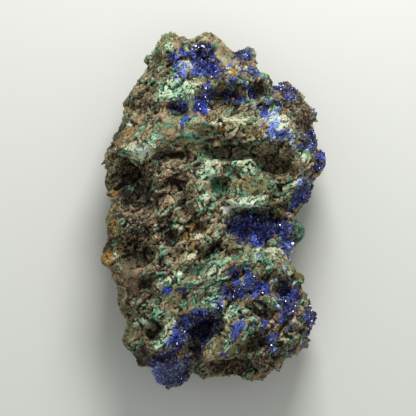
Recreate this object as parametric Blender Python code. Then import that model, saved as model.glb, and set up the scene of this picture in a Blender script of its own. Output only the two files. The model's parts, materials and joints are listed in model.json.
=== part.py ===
"""Azurite specimen: a lump of iron-stained matrix rock with malachite on it and crusts of azurite crystals.

The specimen lies on its flat back with its best face up. X runs across it, Y along it and Z up, and the
origin is the middle of its footprint. The matrix rock is one solid: a body of a given outline and
thickness, shaped by a table of lumps, ledges, ribs, hollows and clefts, and roughened by seeded noise.
Each azurite crust is a solid of its own that lines a hollow or caps an edge, with flat-sided crystals.

Run with: blender --background --python part.py
"""

import math
from typing import NamedTuple

import bmesh
import bpy
import numpy as np
from mathutils import Matrix, Vector
from mathutils.bvhtree import BVHTree

# The driving dimension: the specimen's whole length, in metres. What follows is drawn in millimetres, and
# the drawing is brought to this length as the last step.
LENGTH = 0.097

# The body's section: its face, its widest level and its back, and how far in from the outline they turn.
FACE_HEIGHT = 34.0
FACE_CROWN = 4.0
FACE_CROWN_WIDTH = 17.0
EDGE_HEIGHT = 19.0
BACK_DEPTH = -1.0
BACK_CROWN = 6.5
BACK_CROWN_WIDTH = 19.0
FACE_ROUNDING = 9.5
BACK_ROUNDING = 11.0
LEAST_FACE_RISE = 3.0
SECTION_POWER = 2.2

# Noise, as (wavelength, strength, first seed). Bends move the forms sideways, lumps swell and dent the
# surface, and creases cut it between rounded swellings.
BENDS = [(7.5, 1.3, 1), (3.4, 0.8, 4)]
BEND_IN_HEIGHT = 0.55
LUMPS = [(9.0, 1.0, 11)]
CREASES = [(5.4, 1.5, 12), (2.9, 0.9, 13)]
MEAN_CREASE = 0.33

# The surface is taken from a grid, then thinned: most at the back, least under the crusts. The back is cut
# off level at FLAT_CUT, which makes the flat that it lies on.
GRID_STEP = 1.1
GRID_MARGIN = 4.0
MATRIX_TRIANGLES = 5100
BACK_HEIGHT = 13.0
FACE_READINESS = 0.5
CRUST_READINESS = 0.2
THINNING_FACTOR = 0.05
FLAT_CUT = 0.5

# A crust lies in a bed in the rock, and stands off it by GAP, so that the two solids never touch.
GAP = 0.32
CRUST_THICKNESS = 0.8
CRUST_EDGE = 0.3
CRUST_BED = 1.2
CRUST_FLOOR = 13.5
CRUST_FLOOR_BLEND = 3.0
LEAST_SLOPE = -0.2
LEAST_CLEARING = 0.55
TOOTH_TRIMS = 3
FIRST_CRUST_SEED = 100

# Crystals, by the size of the patch that they stand on, which is the square root of its area.
SMALLEST_CRYSTAL = 0.95
SMALLEST_BLUNT_CRYSTAL = 1.2
BLUNT_SHARE = 0.15
STEEPEST_CRYSTAL = 0.6
CRYSTAL_LEAN = 0.15

OUTLINE = [
    (-15.5, 45.6), (-13.9, 46.7), (-12.0, 47.5), (-8.3, 46.9), (-5.9, 46.1), (-4.3, 47.5),
    (-2.7, 47.9), (-0.8, 47.3), (0.8, 45.1), (2.4, 43.7), (4.5, 42.7), (5.9, 43.5), (7.5, 43.8),
    (9.1, 42.9), (10.2, 40.0), (12.6, 38.6), (14.7, 37.3), (16.6, 35.2), (19.0, 35.0), (21.4, 33.0),
    (22.6, 31.2), (23.3, 29.0), (25.1, 29.0), (26.5, 26.9), (26.2, 22.3), (27.3, 21.0), (28.1, 18.1),
    (28.1, 16.2), (29.4, 15.6), (30.2, 13.5), (28.6, 10.0), (26.5, 7.4), (26.6, 4.7), (24.3, 1.7),
    (23.3, 0.0), (22.5, -0.4), (23.8, -2.8), (24.7, -6.8), (24.1, -9.2), (21.9, -10.0), (21.1, -12.7),
    (21.7, -15.1), (23.5, -17.5), (25.1, -21.3), (27.0, -23.1), (27.7, -26.3), (27.0, -31.2),
    (25.4, -35.4), (23.8, -38.9), (20.1, -40.5), (16.3, -42.9), (13.1, -44.8), (8.8, -44.8),
    (3.5, -44.3), (-1.9, -44.3), (-5.1, -43.5), (-6.7, -43.7), (-8.0, -45.9), (-11.0, -47.2),
    (-15.2, -48.0), (-17.4, -47.3), (-18.2, -45.1), (-17.9, -42.4), (-19.3, -40.8), (-21.4, -38.1),
    (-24.3, -35.4), (-24.3, -33.6), (-23.0, -32.2), (-23.5, -27.9), (-25.0, -25.0), (-24.7, -22.9),
    (-27.3, -18.6), (-27.3, -16.4), (-29.4, -15.5), (-30.1, -12.2), (-29.1, -9.0), (-29.7, -6.0),
    (-30.4, -2.5), (-29.1, 0.9), (-28.3, 3.1), (-29.4, 7.4), (-27.8, 10.6), (-28.1, 15.9),
    (-25.9, 20.5), (-23.5, 25.0), (-22.7, 27.9), (-23.5, 29.5), (-21.7, 35.2), (-20.9, 37.3),
    (-17.9, 39.7), (-16.3, 42.7),
]


class Form(NamedTuple):
    """A lump (height above 0) or a hollow (below 0) of the face: an ellipse turned anticlockwise."""

    name: str
    x: float
    y: float
    half_width: float
    half_length: float
    turn: float
    height: float
    slope: float  # the share of the radius that its side takes: 0 a wall, 1 a dome


FORMS = [
    Form("back ridge behind the top hollow", 3.5, 44.0, 5.6, 4.5, -35, -9, 0.35),
    Form("top right knob", 8.0, 41.8, 2.9, 2.7, 0, -6, 0.3),
    Form("top left shoulder", -12.6, 44.5, 3.7, 2.7, 35, 1.5, 0.8),
    Form("left flank", -20.1, 32.5, 4.0, 9.1, -18, -3.5, 0.8),
    Form("plateau", -11.5, 21.5, 9.6, 4.3, 6, 2.0, 0.7),
    Form("top hollow", -3.2, 39.4, 5.9, 4.3, -38, -4.5, 0.5),
    Form("top hollow's upper pocket", -4.5, 41.6, 2.4, 1.9, -10, -3.5, 0.5),
    Form("top hollow's lower pocket", -1.1, 37.6, 2.9, 2.1, -25, -2.5, 0.5),
    Form("blue spur left of the top hollow", -9.4, 38.9, 2.1, 4.0, 25, 1.5, 0.8),
    Form("malachite mound", -6.7, 32.2, 4.5, 3.7, 25, 3.2, 0.7),
    Form("tan cap on the mound", -4.8, 34.1, 2.1, 2.4, 0, 2.2, 0.6),
    Form("small pit", -9.9, 27.1, 2.0, 1.7, -15, -4.5, 0.35),
    Form("slot under the small pit", -8.6, 23.1, 1.1, 2.1, 0, -2.5, 0.5),
    Form("upper bowl", 6.7, 29.5, 9.1, 4.5, -3, -6.0, 0.5),
    Form("bowl's dark upper slot", 12.6, 32.0, 5.9, 1.3, -4, -2.5, 0.5),
    Form("bowl's left pocket", 1.9, 30.9, 2.1, 1.6, -15, -2.2, 0.5),
    Form("bowl's deep pocket", 4.3, 27.4, 1.6, 2.1, 0, -2.5, 0.5),
    Form("bowl's left lump", -1.1, 28.5, 2.1, 2.1, 0, 2.2, 0.8),
    Form("bowl's middle lump", 8.3, 27.9, 2.4, 1.6, 0, 2.2, 0.8),
    Form("bowl's right lump", 15.2, 29.5, 3.7, 1.3, -12, 2.4, 0.8),
    Form("band above the bowl", 6.2, 36.2, 5.9, 1.6, -12, 1.6, 0.8),
    Form("rib above the bowl", 13.6, 34.1, 5.9, 1.1, -8, 1.4, 0.8),
    Form("right shoulder", 23.8, 23.9, 2.7, 4.8, 0, 1.5, 0.8),
    Form("gully beside the bulge", 21.9, 23.1, 1.1, 5.9, 0, -3.0, 0.7),
    Form("bulge", 9.4, 21.5, 12.6, 4.0, -3, 4.0, 0.5),
    Form("bulge's right boss", 17.6, 20.7, 4.3, 5.1, 10, 3.4, 0.6),
    Form("bulge's left boss", 2.9, 22.1, 4.5, 2.7, 0, 1.2, 0.8),
    Form("cleft under the bulge", 4.8, 15.9, 7.2, 1.9, -4, -8.0, 0.4),
    Form("hollow under the boss", 15.5, 12.6, 4.4, 2.9, -15, -9.0, 0.5),
    Form("step under the plateau", -10.2, 15.1, 4.5, 1.6, -4, -5.0, 0.5),
    Form("shadow gap left of the step", -13.9, 15.9, 2.7, 1.1, 0, -2.0, 0.6),
    Form("green rib", -0.5, 12.4, 1.9, 4.3, 12, 2.6, 0.7),
    Form("green shelf", 7.5, 12.7, 4.8, 2.1, -14, 2.6, 0.7),
    Form("cleft below the green shelf", 6.7, 9.5, 4.8, 0.9, -15, -3.0, 0.6),
    Form("right mound", 23.3, 12.4, 2.9, 4.3, 10, 2.0, 0.8),
    Form("malachite brow", -19.8, 17.2, 6.4, 2.9, 12, 2.6, 0.6),
    Form("left hollow", -21.9, 5.2, 5.3, 7.5, 8, -8.5, 0.6),
    Form("left hollow's floor", -18.5, 1.5, 3.7, 3.2, 0, -1.5, 0.8),
    Form("left rim", -29.1, -3.6, 1.9, 9.1, 0, 1.5, 0.8),
    Form("crumbly shelf", -11.5, 10.0, 7.0, 3.5, 4, 1.6, 0.8),
    Form("slot in the crumbly shelf", -11.5, 7.4, 4.0, 1.1, 8, -3.2, 0.6),
    Form("slot above the crumbly shelf", -13.6, 11.9, 3.2, 0.8, 10, -2.0, 0.6),
    Form("tan knob", -4.3, 3.6, 3.5, 4.8, 8, 4.0, 0.6),
    Form("slot left of the tan knob", -8.8, 2.3, 1.2, 2.1, 0, -4.0, 0.5),
    Form("dark green recess", 0.5, 6.6, 2.7, 2.4, 20, -5.0, 0.6),
    Form("olive shelf", 9.1, 6.3, 7.5, 3.7, 10, 2.8, 0.5),
    Form("pit at the shelf's end", 15.5, 4.1, 1.6, 1.6, 0, -3.0, 0.6),
    Form("shelf's pale lip", 9.9, 2.3, 6.4, 1.3, -8, 2.2, 0.6),
    Form("middle hollow", 11.5, -3.9, 8.0, 4.5, -8, -5.0, 0.4),
    Form("middle hollow's cave", 11.0, -0.7, 7.2, 1.9, -12, -4.5, 0.4),
    Form("right ridge", 26.7, 8.2, 1.9, 8.0, -35, 2.6, 0.7),
    Form("blue wall right of the hollow", 20.1, -5.5, 1.3, 5.3, 0, 1.5, 0.7),
    Form("green lobe behind", 23.5, -5.5, 2.9, 5.3, 0, -9.0, 0.3),
    Form("brown shelf", -17.4, -1.7, 6.4, 2.4, 10, 1.6, 0.8),
    Form("green speckled rib", -8.3, -4.1, 2.4, 3.7, -20, 2.2, 0.7),
    Form("cleft beside the rib", -11.8, -6.6, 1.6, 3.5, -20, -4.5, 0.5),
    Form("cleft above the long rib", -6.4, -2.8, 1.1, 1.6, -30, -3.2, 0.5),
    Form("long rib", -4.3, -8.4, 2.7, 7.0, -38, 3.6, 0.6),
    Form("cleft beside the long rib", -0.5, -10.3, 3.7, 1.6, 32, -6.5, 0.4),
    Form("olive knob", -16.0, -8.4, 3.5, 2.4, 0, 2.0, 0.7),
    Form("green knob", -15.5, -11.4, 2.1, 1.9, 0, 2.0, 0.7),
    Form("left cave", -20.6, -12.2, 5.3, 2.1, 8, -6.5, 0.4),
    Form("ochre rim", -28.9, -10.8, 1.9, 4.3, 0, 1.2, 0.8),
    Form("brown mound", -22.2, -17.5, 5.3, 4.5, -10, 1.0, 0.8),
    Form("hole in the brown mound", -18.5, -18.6, 2.1, 1.7, 25, -6.0, 0.35),
    Form("green bead in the hole", -17.6, -17.5, 0.9, 0.9, 0, 2.5, 0.8),
    Form("ledge under the brown mound", -20.1, -22.6, 4.3, 1.1, -5, -2.0, 0.7),
    Form("green slope", -5.3, -17.0, 10.2, 4.3, 25, 1.8, 0.8),
    Form("cleft in the slope", 0.8, -13.5, 5.3, 1.1, 25, -3.0, 0.6),
    Form("second cleft", -4.0, -16.2, 4.3, 0.8, 25, -2.2, 0.6),
    Form("smooth mound", 12.0, -13.5, 8.6, 3.2, -5, 3.2, 0.6),
    Form("gap left of the mound", 4.8, -11.6, 2.1, 1.3, -10, -4.0, 0.5),
    Form("white lip", 18.2, -15.1, 3.7, 1.1, 25, 1.4, 0.7),
    Form("blue hump", 7.5, -18.1, 4.5, 2.4, -15, 1.8, 0.7),
    Form("malachite boss", -15.2, -27.4, 3.5, 2.1, -5, 2.4, 0.7),
    Form("hole under the boss", -15.5, -31.7, 2.4, 1.6, 15, -5.5, 0.35),
    Form("slot left of the hole", -20.6, -30.1, 2.4, 1.1, 0, -1.8, 0.7),
    Form("blue rim above the lower hollow", -3.2, -26.1, 5.3, 1.3, 18, 2.2, 0.7),
    Form("lower hollow", -2.7, -33.6, 4.0, 6.2, -25, -7.5, 0.4),
    Form("lower hollow's deep gap", -5.3, -35.7, 1.6, 5.3, -10, -5.5, 0.4),
    Form("lump in the lower hollow", -4.3, -35.2, 1.5, 1.3, 0, 2.5, 0.8),
    Form("right part of the lower hollow", -0.8, -31.7, 2.1, 3.5, -15, 1.5, 0.8),
    Form("left blade", -11.5, -33.0, 2.1, 6.7, -38, 4.0, 0.6),
    Form("right rib", 2.9, -35.2, 2.7, 8.8, -53, 3.6, 0.55),
    Form("second rib", 7.2, -31.7, 2.4, 5.3, -25, 2.2, 0.7),
    Form("cleft right of the ribs", 10.4, -35.7, 4.5, 2.1, 42, -6.0, 0.4),
    Form("hanging underside", 1.9, -42.1, 9.1, 2.4, 0, -10.0, 0.5),
    Form("nose", -12.3, -43.7, 5.9, 4.3, 12, 4.0, 0.7),
    Form("pocket above the nose", -14.4, -39.2, 3.5, 1.3, 5, -4.5, 0.4),
    Form("right cave", 19.0, -21.3, 2.9, 2.7, -20, -8.0, 0.35),
    Form("cave's lower run", 20.6, -24.5, 2.4, 2.4, 0, -3.0, 0.6),
    Form("green tooth", 15.2, -23.1, 2.4, 2.1, -25, 2.6, 0.6),
    Form("brown recess", 11.8, -26.1, 4.0, 1.6, -10, -4.5, 0.5),
    Form("band behind the right side", 24.6, -21.0, 2.4, 6.4, 20, -6.0, 0.3),
    Form("lower right bulge", 20.3, -31.2, 6.7, 7.0, 0, 2.4, 0.8),
    Form("notch in the bulge", 14.2, -32.5, 1.3, 1.3, 0, -2.5, 0.6),
    Form("tan face of the bulge", 22.7, -32.5, 3.2, 3.7, 10, 1.2, 0.8),
    Form("slot in the bulge", 14.2, -28.5, 4.0, 1.1, -15, -2.4, 0.6),
    Form("lower fringe", 18.7, -38.9, 5.9, 1.6, 25, -2.0, 0.7),
]


class Pocket(NamedTuple):
    """A hollow that runs in under what stands above it: an ellipsoid at its own height."""

    name: str
    x: float
    y: float
    z: float
    half_width: float
    half_length: float
    half_height: float


POCKETS = [
    Pocket("under the bulge", 4.8, 17.8, 29.0, 6.6, 3.4, 2.6),
    Pocket("under the bulge's boss", 15.5, 14.4, 28.0, 4.0, 3.4, 3.0),
    Pocket("under the malachite brow", -21.0, 11.0, 25.0, 4.6, 3.8, 4.0),
    Pocket("middle cave", 11.0, 1.2, 28.0, 6.8, 3.0, 2.6),
    Pocket("left cave", -20.4, -10.6, 27.0, 5.0, 2.6, 2.4),
    Pocket("lower cave", -4.2, -31.4, 24.5, 3.2, 4.8, 3.4),
    Pocket("right cave", 19.0, -20.0, 26.5, 2.8, 2.8, 3.0),
    Pocket("under the ribs", 2.0, -41.6, 23.0, 8.5, 3.0, 5.0),
    Pocket("top cave", -4.5, 43.0, 27.0, 2.6, 2.2, 2.6),
]


class Crust(NamedTuple):
    """A crust of crystals: the stretches of rock that it covers, and how tall its crystals stand."""

    name: str
    stretches: list  # of (x, y, half width, half length, turn), each an ellipse of the plan
    crystal_height: float


CRUSTS = [
    Crust("azurite_top_hollow", [(-3.4, 39.6, 7.4, 5.6, -38), (-9.4, 37.6, 3.2, 6.0, 5)], 1.1),
    Crust("azurite_small_pit", [(-8.8, 27.0, 3.9, 2.7, 8), (-3.4, 28.2, 3.6, 2.3, 40)], 0.8),
    Crust("azurite_upper_bowl", [(9.0, 29.9, 9.0, 4.6, -4), (12.6, 34.6, 7.0, 2.6, -24)], 1.0),
    Crust("azurite_right_rim", [(24.0, 26.0, 3.0, 7.0, 25), (27.0, 18.5, 2.4, 4.6, -8)], 0.8),
    Crust("azurite_right_ridge", [(26.6, 9.6, 4.0, 8.6, -24), (23.4, 2.8, 3.4, 5.0, -20)], 0.9),
    Crust("azurite_middle_hollow", [(11.8, -3.4, 9.0, 5.4, -8), (20.0, -6.0, 2.4, 6.4, 0)], 1.1),
    Crust("azurite_lower_band", [(1.5, -23.6, 8.8, 2.4, 24), (9.6, -18.6, 5.6, 3.2, -12)], 0.8),
    Crust("azurite_right_cave", [(19.8, -22.6, 4.2, 5.4, 10), (18.0, -29.6, 6.0, 4.4, 20)], 1.0),
    Crust("azurite_lower_hollow", [(-3.2, -33.0, 4.8, 7.4, -25), (-9.0, -33.0, 2.8, 6.4, -38)], 1.1),
    Crust("azurite_lower_right", [(21.0, -36.6, 6.4, 2.8, 30), (26.2, -29.0, 2.0, 6.0, -6)], 0.8),
    Crust("azurite_nose", [(-12.6, -43.0, 6.0, 5.4, 12)], 0.9),
]


def make_material(name, colour, roughness):
    material = bpy.data.materials.new(name)
    material.use_nodes = True
    shader = material.node_tree.nodes["Principled BSDF"]
    shader.inputs["Base Color"].default_value = (*colour, 1.0)
    shader.inputs["Roughness"].default_value = roughness
    return material


def smooth_step(t):
    t = np.clip(t, 0.0, 1.0)
    return t * t * (3.0 - 2.0 * t)


def noise(points, wavelength, seed):
    """Smooth noise from -1 to 1 at each point, read from a seeded lattice of that spacing."""
    size = 32
    lattice = np.random.default_rng(seed).uniform(-1.0, 1.0, (size, size, size))
    places = points / wavelength
    low = np.floor(places).astype(int)
    share = places - low
    share = share * share * (3.0 - 2.0 * share)
    low %= size
    high = (low + 1) % size
    ends = [(low, 1.0 - share), (high, share)]
    total = 0.0
    for x, x_share in ends:
        for y, y_share in ends:
            for z, z_share in ends:
                weight = x_share[..., 0] * y_share[..., 1] * z_share[..., 2]
                total = total + weight * lattice[x[..., 0], y[..., 1], z[..., 2]]
    return total


def distance_inside(x, y):
    """How far each plan point is inside the outline, negative outside it."""
    nearest = np.full(x.shape, np.inf)
    crossings = np.zeros(x.shape, int)
    for (ax, ay), (bx, by) in zip(OUTLINE, OUTLINE[1:] + OUTLINE[:1]):
        dx, dy = bx - ax, by - ay
        along = np.clip(((x - ax) * dx + (y - ay) * dy) / (dx * dx + dy * dy), 0.0, 1.0)
        nearest = np.minimum(nearest, np.hypot(x - ax - along * dx, y - ay - along * dy))
        spans = (ay > y) != (by > y)
        crossings += spans & (x < ax + (y - ay) * dx / (dy if dy else 1.0))
    return np.where(crossings % 2 == 1, nearest, -nearest)


def ellipse_radius(x, y, centre_x, centre_y, half_width, half_length, turn):
    """0 at an ellipse's centre and 1 on its edge."""
    c, s = math.cos(math.radians(turn)), math.sin(math.radians(turn))
    dx, dy = x - centre_x, y - centre_y
    return np.hypot((dx * c + dy * s) / half_width, (dy * c - dx * s) / half_length)


def form_heights(x, y):
    """What the lumps and hollows add to the face at each plan point."""
    total = np.zeros(x.shape)
    for f in FORMS:
        radius = ellipse_radius(x, y, f.x, f.y, f.half_width, f.half_length, f.turn)
        total += f.height * smooth_step((1.0 + 0.5 * f.slope - radius) / f.slope)
    return total


def read_map(values, x, y, start):
    """A plan map on the grid's steps, read between its points."""
    u = np.clip((x - start[0]) / GRID_STEP, 0.0, values.shape[0] - 1.001)
    v = np.clip((y - start[1]) / GRID_STEP, 0.0, values.shape[1] - 1.001)
    i, j = u.astype(int), v.astype(int)
    u, v = u - i, v - j
    near = values[i, j] * (1 - u) + values[i + 1, j] * u
    far = values[i, j + 1] * (1 - u) + values[i + 1, j + 1] * u
    return near * (1 - v) + far * v


def bent(places):
    """The places moved a little by smooth noise, so that no form or crust keeps an ellipse's shape."""
    moved = places
    for wavelength, strength, seed in BENDS:
        for axis, share in enumerate((1.0, 1.0, BEND_IN_HEIGHT)):
            direction = np.eye(3)[axis] * share * strength
            moved = moved + noise(places, wavelength, seed + axis)[..., None] * direction
    return moved


def crust_cover(x, y):
    """1 where a crust lies, falling to 0 around it."""
    stretches = [stretch for crust in CRUSTS for stretch in crust.stretches]
    nearest = np.min([ellipse_radius(x, y, *stretch) for stretch in stretches], axis=0)
    return smooth_step((1.25 - nearest) / 0.4)


def rock_field():
    """A grid of values that are below 0 inside the rock, with the place of each grid point."""
    half_width = max(abs(x) for x, y in OUTLINE) + GRID_MARGIN
    half_length = max(abs(y) for x, y in OUTLINE) + GRID_MARGIN
    start = np.array([-half_width, -half_length, BACK_DEPTH - GRID_MARGIN])
    stop = np.array([half_width, half_length, FACE_HEIGHT + 3.0 * GRID_MARGIN])
    axes = [np.arange(a, b, GRID_STEP) for a, b in zip(start, stop)]
    plan_x, plan_y = np.meshgrid(axes[0], axes[1], indexing="ij")
    inside_map = distance_inside(plan_x, plan_y)
    face_map = FACE_HEIGHT + form_heights(plan_x, plan_y)
    face_map -= FACE_CROWN * np.clip(1.0 - inside_map / FACE_CROWN_WIDTH, 0.0, 1.0) ** 2
    back_map = BACK_DEPTH + BACK_CROWN * np.clip(1.0 - inside_map / BACK_CROWN_WIDTH, 0.0, 1.0) ** 1.5
    cover_map = crust_cover(plan_x, plan_y)

    places = np.stack(np.meshgrid(*axes, indexing="ij"), axis=-1)
    x, y, z = np.moveaxis(bent(places), -1, 0)
    inside, face, back, cover = (
        read_map(values, x, y, start) for values in (inside_map, face_map, back_map, cover_map)
    )
    above = z > EDGE_HEIGHT
    face_rise = np.maximum(face - EDGE_HEIGHT, LEAST_FACE_RISE)
    half_height = np.where(above, face_rise, EDGE_HEIGHT - back)
    rounding = np.where(above, FACE_ROUNDING, BACK_ROUNDING)
    across = np.maximum(0.0, (rounding - inside) / rounding)
    upward = np.abs(z - EDGE_HEIGHT) / half_height
    radius = (across**SECTION_POWER + upward**SECTION_POWER) ** (1.0 / SECTION_POWER)
    field = (radius - 1.0) * np.minimum(rounding, half_height)

    for p in POCKETS:
        offsets = ((x - p.x) / p.half_width, (y - p.y) / p.half_length, (z - p.z) / p.half_height)
        radius = np.sqrt(sum(offset**2 for offset in offsets))
        field = np.maximum(field, (1.0 - radius) * p.half_height)

    field += CRUST_BED * cover * np.clip((z - CRUST_FLOOR) / CRUST_FLOOR_BLEND, 0.0, 1.0)
    for wavelength, strength, seed in LUMPS:
        field += strength * noise(places, wavelength, seed)
    for wavelength, strength, seed in CREASES:
        field += strength * (np.abs(noise(places, wavelength, seed)) - MEAN_CREASE)
    return field, places


# A grid cube as six tetrahedra that share its long diagonal, by the order in which they step along X, Y, Z.
CUBE_STEPS = [(0, 1, 2), (0, 2, 1), (1, 0, 2), (1, 2, 0), (2, 0, 1), (2, 1, 0)]


def tetrahedra(shape):
    """The four grid-point numbers of every tetrahedron of the grid."""
    numbers = np.arange(math.prod(shape)).reshape(shape)
    strides = (shape[1] * shape[2], shape[2], 1)
    corner = numbers[:-1, :-1, :-1].ravel()
    made = []
    for order in CUBE_STEPS:
        first = corner + strides[order[0]]
        second = first + strides[order[1]]
        made.append(np.stack([corner, first, second, second + strides[order[2]]], axis=1))
    return np.concatenate(made)


def level_surface(field, places):
    """Points and triangles of the closed surface where the field is 0, by marching tetrahedra."""
    values = field.ravel()
    values = np.where(np.abs(values) < 1e-6, 1e-6, values)
    points = places.reshape(-1, 3)
    cells = tetrahedra(field.shape)
    within = values[cells] < 0
    count = within.sum(axis=1)
    cells, within, count = (a[(count > 0) & (count < 4)] for a in (cells, within, count))
    order = np.argsort(~within, axis=1, kind="stable")
    cells = np.take_along_axis(cells, order, axis=1)

    def cuts(rows, *pairs):
        """The grid edges of these cells that the triangle's corners lie on."""
        return np.stack([cells[rows][:, pair] for pair in pairs], axis=1)

    one, two, three = (count == n for n in (1, 2, 3))
    corners = np.concatenate(
        [
            cuts(one, (0, 1), (0, 2), (0, 3)),
            cuts(two, (0, 2), (0, 3), (1, 3)),
            cuts(two, (0, 2), (1, 3), (1, 2)),
            cuts(three, (3, 0), (3, 1), (3, 2)),
        ]
    )
    corners = np.sort(corners, axis=2).reshape(-1, 2)
    edges, index = np.unique(corners, axis=0, return_inverse=True)
    a, b = values[edges[:, 0]], values[edges[:, 1]]
    share = np.clip(a / (a - b), 0.03, 0.97)[:, None]
    cut_points = points[edges[:, 0]] * (1 - share) + points[edges[:, 1]] * share
    return cut_points, index.reshape(-1, 3)


def keep_largest_piece(bm):
    """Removes the small islands and bubbles that the noise leaves."""
    unseen = set(bm.verts)
    pieces = []
    while unseen:
        start = unseen.pop()
        piece, edge_of = {start}, [start]
        while edge_of:
            vertex = edge_of.pop()
            for edge in vertex.link_edges:
                other = edge.other_vert(vertex)
                if other in unseen:
                    unseen.remove(other)
                    piece.add(other)
                    edge_of.append(other)
        pieces.append(piece)
    pieces.sort(key=len)
    for piece in pieces[:-1]:
        bmesh.ops.delete(bm, geom=list(piece), context="VERTS")


def thinned(mesh, triangles):
    """The mesh with fewer triangles, thinned more at the back than at the face."""
    obj = bpy.data.objects.new("thinning", mesh)
    bpy.context.scene.collection.objects.link(obj)
    group = obj.vertex_groups.new(name="readiness")
    x, y, z = np.array([vertex.co for vertex in mesh.vertices]).T
    readiness = np.where(crust_cover(x, y) > 0.5, CRUST_READINESS, FACE_READINESS)
    readiness[z < BACK_HEIGHT] = 1.0
    for value in np.unique(readiness):
        group.add(np.flatnonzero(readiness == value).tolist(), value, "REPLACE")
    thin = obj.modifiers.new("thin", "DECIMATE")
    thin.ratio = triangles / len(mesh.polygons)
    thin.use_collapse_triangulate = True
    thin.vertex_group = group.name
    thin.vertex_group_factor = THINNING_FACTOR
    graph = bpy.context.evaluated_depsgraph_get()
    made = bpy.data.meshes.new_from_object(obj.evaluated_get(graph))
    bpy.data.objects.remove(obj)
    return made


def cut_flat_back(bm):
    """Cuts the back off level and puts the cut at height 0."""
    level = (0, 0, FLAT_CUT)
    geometry = bm.verts[:] + bm.edges[:] + bm.faces[:]
    cut = bmesh.ops.bisect_plane(
        bm, geom=geometry, dist=1e-4, plane_co=level, plane_no=(0, 0, 1), clear_inner=True
    )
    rim = [e for e in cut["geom_cut"] if isinstance(e, bmesh.types.BMEdge) and e.is_boundary]
    bmesh.ops.triangle_fill(bm, edges=rim, use_beauty=True, normal=(0, 0, -1))
    bmesh.ops.translate(bm, verts=bm.verts, vec=(0, 0, -FLAT_CUT))


def make_matrix():
    """The matrix rock as a faceted mesh, lying on the flat of its back."""
    points, triangles = level_surface(*rock_field())
    mesh = bpy.data.meshes.new("untrimmed rock")
    mesh.from_pydata(points.tolist(), [], triangles.tolist())
    bm = bmesh.new()
    bm.from_mesh(mesh)
    keep_largest_piece(bm)
    bmesh.ops.recalc_face_normals(bm, faces=bm.faces)
    bm.to_mesh(mesh)
    bm.free()

    mesh = thinned(mesh, MATRIX_TRIANGLES)
    mesh.name = "matrix_rock"
    bm = bmesh.new()
    bm.from_mesh(mesh)
    cut_flat_back(bm)
    bmesh.ops.triangulate(bm, faces=bm.faces)
    bmesh.ops.recalc_face_normals(bm, faces=bm.faces)
    bm.to_mesh(mesh)
    bm.free()
    return mesh


def spread(start, faces, may_cross):
    """The faces that are reached from one of them over the edges that may be crossed."""
    reached, waiting = {start}, [start]
    while waiting:
        for edge in waiting.pop().edges:
            if may_cross(edge):
                near = [f for f in edge.link_faces if f in faces and f not in reached]
                reached.update(near)
                waiting += near
    return reached


def sheets(faces, among, may_cross=lambda edge: True):
    """These faces in sheets that hang together by their edges, the largest first."""
    found, seen = [], set()
    for face in among:
        if face in faces and face not in seen:
            found.append(spread(face, faces, may_cross))
            seen |= found[-1]
    return sorted(found, key=len, reverse=True)


def without_teeth(faces):
    """These faces, less those that hang on by one edge at most."""
    return {f for f in faces if sum(other in faces for e in f.edges for other in e.link_faces) > 4}


def in_one_sheet(faces):
    """The largest sheet among these faces, with no two parts of it joined at a point only."""
    for _ in range(TOOTH_TRIMS):
        faces = without_teeth(faces)
    while True:
        faces = sheets(faces, sorted(faces, key=lambda f: f.index))[0]
        pinched = set()
        for vertex in {v for f in faces for v in f.verts}:
            around = faces & set(vertex.link_faces)
            fans = sheets(around, vertex.link_faces, lambda edge: vertex in edge.verts)
            pinched.update(*fans[1:])
        if not pinched:
            return faces
        faces = faces - pinched


def is_under(face, place, crust, tree):
    """Whether a face of the rock lies in a crust's stretches, with room in front of it for crystals."""
    if face.normal.z < LEAST_SLOPE or place[2] < CRUST_FLOOR:
        return False
    if all(ellipse_radius(place[0], place[1], *stretch) > 1.0 for stretch in crust.stretches):
        return False
    room = 2.0 * GAP + CRUST_THICKNESS + crust.crystal_height
    start = face.calc_center_median() + face.normal * 0.01
    return tree.ray_cast(start, face.normal, room)[0] is None


def standing_off(vertex):
    """A vertex's normal, lengthened so that a move of 1 along it clears its faces by 1."""
    normal = vertex.normal
    least = min(normal.dot(face.normal) for face in vertex.link_faces)
    return normal / max(least, LEAST_CLEARING)


def crust_over(faces, crust, seed):
    """A closed shell over the faces: lifted off them, given a thickness, and raised to crystals.

    Each face of it carries the number of the rock's face that it stands on.
    """
    rng = np.random.default_rng(seed)
    vertices = sorted({v for f in faces for v in f.verts}, key=lambda v: v.index)
    on_edge = {v for v in vertices for e in v.link_edges if sum(f in faces for f in e.link_faces) == 1}
    bm = bmesh.new()
    source = bm.faces.layers.int.new("source")
    inner, outer = {}, {}
    for vertex in vertices:
        foot = vertex.co + standing_off(vertex) * GAP
        thickness = CRUST_EDGE if vertex in on_edge else CRUST_THICKNESS
        inner[vertex] = bm.verts.new(foot)
        outer[vertex] = bm.verts.new(foot + vertex.normal * thickness)
    tops = []
    for face in sorted(faces, key=lambda f: f.index):
        made = [
            bm.faces.new([inner[v] for v in reversed(face.verts)]),
            bm.faces.new([outer[v] for v in face.verts]),
        ]
        tops.append(made[1])
        for loop in face.loops:
            if sum(f in faces for f in loop.edge.link_faces) == 1:
                a, b = loop.vert, loop.link_loop_next.vert
                made.append(bm.faces.new([inner[a], inner[b], outer[b], outer[a]]))
        for new in made:
            new[source] = face.index
    bm.normal_update()
    for top in tops:
        raise_crystal(bm, top, crust.crystal_height, rng)
    bmesh.ops.triangulate(bm, faces=bm.faces)
    bm.faces.ensure_lookup_table()
    return bm


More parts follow.
